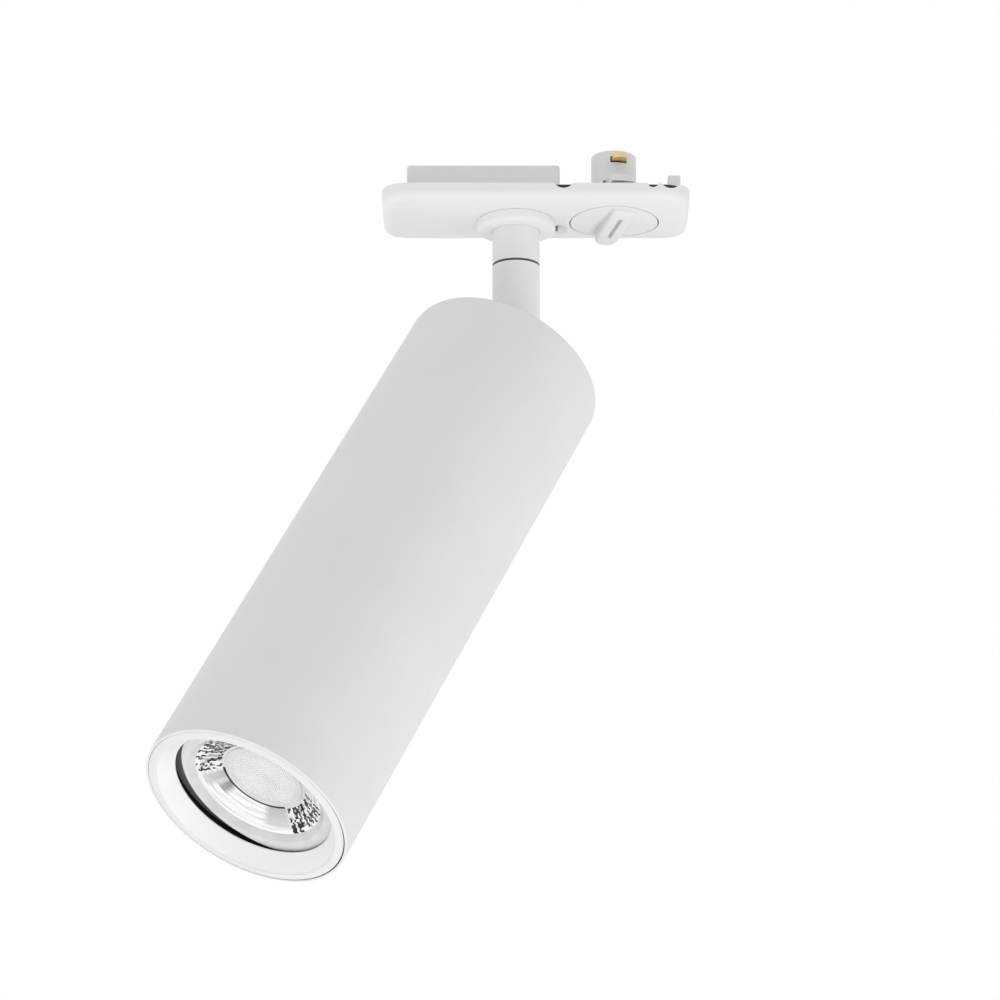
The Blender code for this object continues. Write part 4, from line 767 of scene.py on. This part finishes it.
# Lens; heights count from the head's front
LENS = 22.6 * FLATS
LENS_FACE = FRONT + 5.7
LENS_BACK = LENS_FACE + 1.6
CONE_BACK = LENS_BACK + 13.7
CONE_FRONT, CONE_REAR, POCKET, POCKET_DEPTH = 18.4, 8.2, 6.2, 6.0
LIFT_RADIUS, LIFT_SHIFT, LIFT_SIDE = 24.0, 4.7, 95
LENS_FACE_EDGE = 0.15
SHOULDER_EDGE, SHOULDER_INSET, SHOULDER_DROP = 18.9, 0.5, 0.35
BOWL, BOWL_TOP = 17.15, LENS_FACE + 1.7
DISC, DISC_BACK, DISC_DOME, DISC_LINE, DISC_STEP = 11.4, LENS_FACE + 4.9, 0.5, 0.8, 0.1
DISC_RINGS = (1.0, 0.97, 0.86, 0.6, 0.3)
BOWL_CURVE = 1.15
COLUMNS, ROWS = 132, 11
FACET_SINK = 0.06

# Facet tones are painted reflections: mosaics of black and white painted sparkle, painted highlights as
# streaks, grey panes.
# Mosaics have a middle and a reach in degrees; panes too, then the row above them and a tone; streaks have
# waves round the bowl, a lag per row and a size
DICE_SEED = 7
MOSAICS = ((165, 45), (338, 27))
MOSAIC_FADE, MOSAIC_REPEATS = 10, 0.4
MOSAIC_BORDER, MOSAIC_BORDER_SHARE, MOSAIC_BORDER_TONE = 3, 0.7, 0.03
MOSAIC_TONES = (0.0, 0.0, 0.0, 0.03, 0.15, 0.5, 0.9, 1.0)
PANES = ((21, 19, 2, 0.74), (91, 11, 5, 0.52), (109, 12, 1, 0.72))
PANE_FADE, PANE_ROW_SHADE = 8, 0.02
STREAK_TONE, STREAK_DEPTH, TONE_SPREAD = 0.93, 0.12, 0.04
STREAK_WAVES = ((2, 2.4, 1.0), (7, 1.7, 0.5))
SHADE_FROM, SHADE_TO = 8, 119

# Beads on the disc, and the cup behind the lens
BEAD_FIELD, BEAD_PITCH, BEAD, BEAD_HEIGHT = 8.7, 0.70, 0.27, 0.22
BEAD_SHIFT, BEAD_SIDE, BEAD_TURN = 1.2, 243, 18
BEAD_CORNERS, BEAD_WAIST, BEAD_WAIST_HEIGHT = 6, 0.7, 0.6
CUP_WALL, CUP_FOOT, CUP_RIM, CUP_RIM_THICK, CUP_EDGE = 1.6, 1.3, 23.6 * FLATS, 1.6, 0.3
LENS_LOOKS = [PAINTED_REFLECTION_FACETS, LENS_RIM, DARK_LINE, BEADS]
FACET, CLEAR, SHADE, BEADED = range(4)


def flange_edge(angle):
    """Distance from the axis to the flange's edge, which a shallow crescent cuts back on one side."""
    along = -LIFT_SHIFT * math.cos(angle - math.radians(LIFT_SIDE))
    return min(LENS, along + math.sqrt(LIFT_RADIUS ** 2 - LIFT_SHIFT ** 2 + along ** 2))


def lens_ring(bm, radius, height, half=0.0, inset=0.0):
    """A ring of corners; the radius may depend on the angle."""
    corners = []
    for i in range(COLUMNS):
        angle = 2 * math.pi * (i + half) / COLUMNS
        r = (radius(angle) if callable(radius) else radius) - inset
        corners.append(bm.verts.new((r * math.cos(angle), r * math.sin(angle), height)))
    return corners


def lens_band(bm, a, b, look=CLEAR):
    """Faces between two rings."""
    made = []
    for i in range(COLUMNS):
        j = (i + 1) % COLUMNS
        made.append(bm.faces.new((a[i], a[j], b[j], b[i])))
        made[-1].material_index = look
    return made


def apart(angle, other):
    """Degrees between two directions."""
    return abs((angle - other + 180) % 360 - 180)


def painted_reflection_tone(dice, row, column, above):
    """Painted reflections: a black and white mosaic of painted sparkle on two sides of the bowl; painted
    highlights as bright streaks and a few grey panes between.
    """
    angle = 360 * (column + 0.5) / COLUMNS
    for middle, reach in MOSAICS:
        left = reach - apart(angle, middle)
        if 0 < left < MOSAIC_BORDER and 0 < row and dice.random() < MOSAIC_BORDER_SHARE:
            return MOSAIC_BORDER_TONE
        if dice.random() < left / MOSAIC_FADE:
            return above if dice.random() < MOSAIC_REPEATS else dice.choice(MOSAIC_TONES)
    way = math.radians(angle)
    streak = sum(size * math.sin(waves * way + lag * row) for waves, lag, size in STREAK_WAVES)
    tone = STREAK_TONE + STREAK_DEPTH * streak
    for middle, reach, row_above, pane in PANES:
        left = reach - apart(angle, middle)
        if row > row_above and left > 0:
            tone += (pane - PANE_ROW_SHADE * row - tone) * min(1, left / PANE_FADE)
    return tone


def lens_bowl(bm, top):
    """Staggered rows of sunk facets, each holding its painted reflection tone, from the shoulder down to the
    disc; returns the lowest ring.
    """
    layer = bm.faces.layers.float.new("facet")
    dice = random.Random(DICE_SEED)
    tones = [1.0] * COLUMNS
    for row in range(ROWS):
        share = (row + 1) / ROWS
        height = BOWL_TOP + (DISC_BACK - BOWL_TOP) * share ** BOWL_CURVE
        lower = lens_ring(bm, BOWL + (DISC - BOWL) * share, height, 0.5 * ((row + 1) % 2))
        for column, face in enumerate(lens_band(bm, top, lower, FACET)):
            tones[column] = painted_reflection_tone(dice, row, column, tones[column])
            for part in bmesh.ops.poke(bm, faces=[face], offset=FACET_SINK)["faces"]:
                part[layer] = tones[column] + dice.uniform(-TONE_SPREAD, TONE_SPREAD)
                part.material_index = FACET
        top = lower
    return top


def lens_disc(bm, edge):
    """Shaded parting line, smooth border and shallow dome of the lens's middle."""
    half = 0.5 * (ROWS % 2)
    line = lens_ring(bm, DISC - DISC_LINE, DISC_BACK + DISC_STEP, half)
    for i, face in enumerate(lens_band(bm, edge, line)):
        shaded = SHADE_FROM < 360 * (i + half) / COLUMNS < SHADE_TO
        face.material_index = SHADE if shaded else CLEAR
    for share in DISC_RINGS:
        radius = (DISC - DISC_LINE - DISC_STEP) * share
        plate = lens_ring(bm, radius, disc_height(radius), half)
        lens_band(bm, line, plate)
        line = plate
    bm.faces.new(line).material_index = CLEAR


def disc_height(radius):
    """Height of the domed disc at a distance from the axis."""
    return DISC_BACK - DISC_STEP - DISC_DOME * (1 - (radius / DISC) ** 2)


def lens_beads(bm):
    """A diagonal grid of small domes, in a round field set to one side of the disc."""
    field = turn(BEAD_SIDE) @ Vector((BEAD_SHIFT, 0, 0))
    reach = math.ceil(DISC / BEAD_PITCH)
    for i in range(-reach, reach + 1):
        for j in range(-reach, reach + 1):
            x, y, _ = turn(BEAD_TURN) @ Vector((i, j, 0)) * BEAD_PITCH
            if math.hypot(x - field.x, y - field.y) > BEAD_FIELD:
                continue
            seat = disc_height(math.hypot(x, y))
            waist_height = seat - BEAD_HEIGHT * BEAD_WAIST_HEIGHT
            foot = circle(BEAD, BEAD_CORNERS, (x, y))
            foot = [bm.verts.new((*p, seat + BEAD_HEIGHT / 3)) for p in foot]
            waist = circle(BEAD * BEAD_WAIST, BEAD_CORNERS, (x, y))
            waist = [bm.verts.new((*p, waist_height)) for p in waist]
            crown = bm.verts.new((x, y, seat - BEAD_HEIGHT))
            made = [bm.faces.new(foot)]
            for a in range(BEAD_CORNERS):
                b = (a + 1) % BEAD_CORNERS
                made.append(bm.faces.new((foot[a], foot[b], waist[b], waist[a])))
                made.append(bm.faces.new((waist[a], waist[b], crown)))
            for face in made:
                face.material_index = BEADED


def lens():
    """Cone and pocket behind, then flange, shoulder, bowl and disc; the front looks along -Z."""
    bm = bmesh.new()
    rings = [lens_ring(bm, POCKET, CONE_BACK - POCKET_DEPTH), lens_ring(bm, POCKET, CONE_BACK),
             lens_ring(bm, CONE_REAR, CONE_BACK), lens_ring(bm, CONE_FRONT, LENS_BACK),
             lens_ring(bm, flange_edge, LENS_BACK, inset=CRISP_EDGE),
             lens_ring(bm, flange_edge, LENS_BACK - CRISP_EDGE),
             lens_ring(bm, flange_edge, LENS_FACE + LENS_FACE_EDGE),
             lens_ring(bm, flange_edge, LENS_FACE, inset=LENS_FACE_EDGE),
             lens_ring(bm, SHOULDER_EDGE, LENS_FACE),
             lens_ring(bm, SHOULDER_EDGE - SHOULDER_INSET, LENS_FACE + SHOULDER_DROP),
             lens_ring(bm, BOWL, BOWL_TOP)]
    for a, b in zip(rings, rings[1:]):
        lens_band(bm, a, b)
    bm.faces.new(rings[0]).material_index = CLEAR
    lens_disc(bm, lens_bowl(bm, rings[-1]))
    lens_beads(bm)
    bmesh.ops.recalc_face_normals(bm, faces=bm.faces)
    obj = piece("lens_body", bm, TILT, "head", LENS_LOOKS, "clear_plastic", "collimator_lens", sharp=60)
    for polygon in obj.data.polygons:
        polygon.use_smooth = polygon.material_index != FACET


def lens_cup():
    """Dark holder round the lens cone; its rim shows through the flange's crescent."""
    slope = (CONE_FRONT - CONE_REAR) / (CONE_BACK - LENS_BACK)
    inner, foot = CONE_REAR + 2 * FIT, CONE_BACK + CUP_FOOT
    outer = inner + CUP_WALL
    rim_low = LENS_BACK + FIT
    rim_top = rim_low + CUP_RIM_THICK
    cup = lathe([(outer, foot), (outer, CONE_BACK), (outer + slope * (CONE_BACK - rim_top), rim_top),
                 (CUP_RIM, rim_top, CUP_EDGE), (CUP_RIM, rim_low, CUP_EDGE), (CONE_FRONT + FIT, rim_low),
                 (inner, CONE_BACK), (inner, foot)], 96)
    piece("lens_cup", cup, TILT, "head", DARK_GREY, "black_plastic", "lens_holder")


# Rear end and hinge
CAP, CAP_EDGE = 26.2, 0.3
CAP_SCREW_CIRCLE, CAP_SCREW_ANGLES, CAP_SCREW_HOLE = 23.0, (60, 180, 300), 1.8
YOKE_SCREW_X = (-5, 5)
CABLE_X, CABLE_HOLE, CABLE_BORE = 14.5, 3.2, 2.3
BUSH_LIP, BUSH_EDGE, BUSH_BORE_EDGE = 0.8, 0.35, 0.25
YOKE_TOP = -STEM - 1.1
YOKE_LOW = CAP_TOP + FIT
YOKE_EDGE, EAR_EDGE = 0.3, 0.35
WASHER, WASHER_THICK = 4.6, 0.8
WASHER_NEAR = STEM_TONGUE_HALF + FIT
EAR, EAR_THICK = 4.8, 3.2
EAR_NEAR = WASHER_NEAR + WASHER_THICK + FIT
EAR_FAR = EAR_NEAR + EAR_THICK
WEB_NEAR, WEB_TOP = STEM + FIT, 3.0
WEB_FAR = WEB_NEAR + 1.5
BOLT, BOLT_HEAD, BOLT_HEAD_HEIGHT = 2.0, 3.8, 2.6
BOLT_DOME, BOLT_SEAT_EDGE, BOLT_END_EDGE = 0.9, 0.15, 0.3
HEX_SOCKET, HEX_SOCKET_FLOOR = 1.5, 1.1
NUT, NUT_HEIGHT = 4.0, 3.0
NUT_FACE, NUT_FACE_OUT, NUT_GIRTH, NUT_GIRTH_IN = 3.3, 0.2, 4.3, 0.6


def rear_plate():
    """Rear cap, its screws and the bush for the cable."""
    cap = prism(circle(CAP, 160), CAP_LOW, CAP_TOP)
    soften(cap, CAP_EDGE, 5, where=lambda p: p.z > CAP_TOP - FIT)
    holes = [(CABLE_HOLE + FIT, CABLE_X, 0)] + [(CAP_SCREW_HOLE, x, 0) for x in YOKE_SCREW_X]
    for i, angle in enumerate(CAP_SCREW_ANGLES, 1):
        x = CAP_SCREW_CIRCLE * math.cos(math.radians(angle))
        y = CAP_SCREW_CIRCLE * math.sin(math.radians(angle))
        holes.append((CAP_SCREW_HOLE, x, y))
        place = TILT @ shift(x, y, CAP_TOP + FIT)
        cap_screw(f"rear_fastener_{i}", f"cap_screw_{i}", place, "head", CAP_SCREW)
    for radius, x, y in holes:
        cap = drill(cap, radius, CAP_LOW - PAST, CAP_TOP + PAST, (x, y, 0))
    piece("rear_plate", cap, TILT, "head", WHITE_PAINT, "white_paint", "rear_cap")
    lip, seat = CABLE_HOLE + BUSH_LIP, CAP_TOP + FIT
    face = seat + BUSH_LIP
    bush = lathe([(lip, face, BUSH_EDGE), (lip, seat, SMALL_EDGE), (CABLE_HOLE, seat), (CABLE_HOLE, CAP_LOW),
                  (CABLE_BORE, CAP_LOW), (CABLE_BORE, face, BUSH_BORE_EDGE)], 48)
    piece("cable_bush", bush, TILT @ shift(CABLE_X), "head", RUBBER, "rubber", "cable_grommet")


def yoke():
    """Base, two ears and a web beside them; ears and web are set back a little from the base's sides."""
    base = soften(box((-STEM, -EAR_FAR, YOKE_LOW), (WEB_FAR, EAR_FAR, YOKE_TOP)), YOKE_EDGE)
    foot = YOKE_TOP - 2 * FIT
    outline = [(CLOSE_FIT - STEM, foot), (STEM, foot)] + arc((0, 0), EAR, 0, 180, 40)
    for low in (EAR_NEAR, CLOSE_FIT - EAR_FAR):
        ear = placed(prism(outline, low, low + EAR_THICK - CLOSE_FIT), UPRIGHT)
        base = joined(base, soften(ear, EAR_EDGE, where=lambda p: p.z > YOKE_TOP))
    web = box((WEB_NEAR, FIT - EAR_FAR, foot), (WEB_FAR - CLOSE_FIT, EAR_FAR - FIT, WEB_TOP))
    base = joined(base, soften(web, YOKE_EDGE))
    base = drill(base, BOLT_HOLE, -2 * EAR_FAR, 2 * EAR_FAR, matrix=UPRIGHT)
    for x in YOKE_SCREW_X:
        base = drill(base, CAP_SCREW_HOLE, CAP_LOW, YOKE_TOP - 3 * FIT, (x, 0, 0))
    piece("yoke_bracket", base, TILT, "head", WHITE_PAINT, "white_paint", "hinge_yoke")


def pivot():
    """Friction washers, bolt and nut on the tilt axis."""
    for side, low in (("left", WASHER_NEAR), ("right", -WASHER_NEAR - WASHER_THICK)):
        high = low + WASHER_THICK
        disc = lathe([(WASHER, high, SMALL_EDGE), (WASHER, low, SMALL_EDGE), (BOLT_HOLE, low),
                      (BOLT_HOLE, high)], 64)
        piece(f"pivot_washer_{side}", disc, TILT @ UPRIGHT, "head", BLACK_PLASTIC, "black_plastic",
              f"hinge_washer_{side}")
    length = 2 * EAR_FAR + 2 * FIT + NUT_HEIGHT
    bolt = lathe([(0, BOLT_HEAD_HEIGHT), (BOLT_HEAD, BOLT_HEAD_HEIGHT, BOLT_DOME),
                  (BOLT_HEAD, 0, BOLT_SEAT_EDGE), (BOLT, 0), (BOLT, -length, BOLT_END_EDGE),
                  (0, -length)], 64)
    bolt = carve(bolt, prism(circle(HEX_SOCKET, 6), HEX_SOCKET_FLOOR, BOLT_HEAD_HEIGHT + PAST))
    piece("pivot_bolt", bolt, TILT @ shift(y=-EAR_FAR - FIT) @ UPRIGHT, "head", STEEL, "steel", "hinge_bolt")
    low = -EAR_FAR - FIT - NUT_HEIGHT
    high = low + NUT_HEIGHT
    top, bottom = high + NUT_FACE_OUT, low - NUT_FACE_OUT
    chamfer = lathe([(0, top), (NUT_FACE, top), (NUT_GIRTH, high - NUT_GIRTH_IN),
                     (NUT_GIRTH, low + NUT_GIRTH_IN), (NUT_FACE, bottom), (0, bottom)], 64)
    nut = carve(prism(circle(NUT, 6), low, high), chamfer, "INTERSECT")
    nut = drill(nut, BOLT_HOLE, low - PAST, high + PAST)
    piece("pivot_nut", nut, TILT @ UPRIGHT, "head", STEEL, "steel", "hinge_nut")


for make in (adapter_shell, track_plate, earth_strip, latch_knob, rotor, rosette, stem, head_shell, bezel,
             lens, lens_cup, rear_plate, yoke, pivot):
    make()

# Pieces inside the housings keep their CAD shape
INNER = {
    STEEL: "swivel_nipple nipple_washer holder_screw_1 holder_screw_2 bracket_screw_base bracket_screw_side "
           "yoke_screw_1 yoke_screw_2",
    BRASS: "nipple_locknut swivel_nut",
    ALUMINIUM: "heat_sink driver_bracket mount_ring",
    BLACK_PLASTIC: "friction_washer driver_output driver_input",
    WHITE_PLASTIC: "terminal_block led_holder driver_case",
    matt("ceramic", (0.80, 0.78, 0.72), (0.90, 0.88, 0.82)): "led_board",
    matt("phosphor", (0.80, 0.60, 0.14), (0.90, 0.72, 0.22)): "led_phosphor",
    matt("thermal pad", grey(0.30), grey(0.38)): "thermal_pad",
    matt("brown sleeve", (0.22, 0.10, 0.04), (0.30, 0.14, 0.06)): "supply_lead_live mains_lead_live",
    matt("blue sleeve", (0.04, 0.12, 0.42), (0.06, 0.16, 0.50)): "supply_lead_neutral mains_lead_neutral",
    matt("green sleeve", (0.18, 0.38, 0.08), (0.25, 0.45, 0.10)): "supply_lead_earth",
    matt("red sleeve", (0.50, 0.03, 0.02), (0.60, 0.05, 0.04)): "led_lead_plus",
    matt("black sleeve", grey(0.015), grey(0.03)): "led_lead_minus",
}
for finish, names in INNER.items():
    for name in names.split():
        mesh = frame["nodes"][name].data
        mesh.materials.clear()
        mesh.materials.append(finish)


# Studio, in metres, watts and degrees, the camera's lens and sensor in millimetres
FLOOR_RADIUS, FLOOR_HEIGHT = 6, -1.3
LAMP_WIDTH = 1.2
LAMPS = (("front lamp", (0.6, -0.7, -1.1), 3.4), ("left lamp", (-0.8, -0.6, -1.0), 7.8),
         ("right lamp", (1.0, -0.3, -1.0), 4.0))
BACKDROP = 0.77
CAMERA_PLACE = (-0.004415, -1.014152, -0.370391)
CAMERA_RISE, CAMERA_LENS, CAMERA_SENSOR = 15.7227, 140.465, 36


def floor():
    """A pale floor; polished faces mirror plain white instead."""
    disc = bmesh.new()
    bmesh.ops.create_circle(disc, cap_ends=True, radius=FLOOR_RADIUS, segments=64)
    mesh = bpy.data.meshes.new("floor")
    disc.to_mesh(mesh)
    disc.free()
    pale = Finish("pale floor", Specular_IOR_Level=0.1)
    pale.colour(pale.ramp(pale.noise(3), 0.84, 0.88))
    pale.rough(pale.noise(30), 0.8, 0.9)
    mesh.materials.append(pale.material)
    obj = bpy.data.objects.new("floor", mesh)
    obj.location.z = FLOOR_HEIGHT
    obj.visible_glossy = False
    scene.collection.objects.link(obj)


def lamp(name, at, power):
    """A wide soft lamp that shines straight up, so the floor is even. Polished faces don't mirror it."""
    data = bpy.data.lights.new(name, "AREA")
    data.shape = "DISK"
    data.size = LAMP_WIDTH
    data.energy = power
    obj = bpy.data.objects.new(name, data)
    obj.location = at
    obj.rotation_euler = (math.pi, 0, 0)
    obj.visible_glossy = False
    scene.collection.objects.link(obj)


def backdrop(strength):
    """Even light all round; the camera, gloss and glass see plain white."""
    world = bpy.data.worlds.new("studio")
    world.use_nodes = True
    nodes, links = world.node_tree.nodes, world.node_tree.links
    soft = nodes["Background"]
    soft.inputs["Color"].default_value = (1, 1, 1, 1)
    soft.inputs["Strength"].default_value = strength
    white = nodes.new("ShaderNodeBackground")
    white.inputs["Color"].default_value = (1, 1, 1, 1)
    rays = nodes.new("ShaderNodeLightPath")
    seen = rays.outputs["Is Camera Ray"]
    for kind in ("Is Glossy Ray", "Is Transmission Ray"):
        either = nodes.new("ShaderNodeMath")
        either.operation = "MAXIMUM"
        links.new(seen, either.inputs[0])
        links.new(rays.outputs[kind], either.inputs[1])
        seen = either.outputs[0]
    pick = nodes.new("ShaderNodeMixShader")
    links.new(seen, pick.inputs["Fac"])
    links.new(soft.outputs[0], pick.inputs[1])
    links.new(white.outputs[0], pick.inputs[2])
    links.new(pick.outputs[0], nodes["World Output"].inputs["Surface"])
    scene.world = world


def photo_camera():
    """The photo's viewpoint."""
    camera = bpy.data.objects.new("camera", bpy.data.cameras.new("camera"))
    camera.data.sensor_width = CAMERA_SENSOR
    camera.data.lens = CAMERA_LENS
    camera.location = CAMERA_PLACE
    camera.rotation_euler = (math.radians(90 + CAMERA_RISE), 0, 0)
    scene.collection.objects.link(camera)
    scene.camera = camera


floor()
for name, at, power in LAMPS:
    lamp(name, at, power)
backdrop(BACKDROP)
photo_camera()
scene.view_settings.view_transform = "Standard"
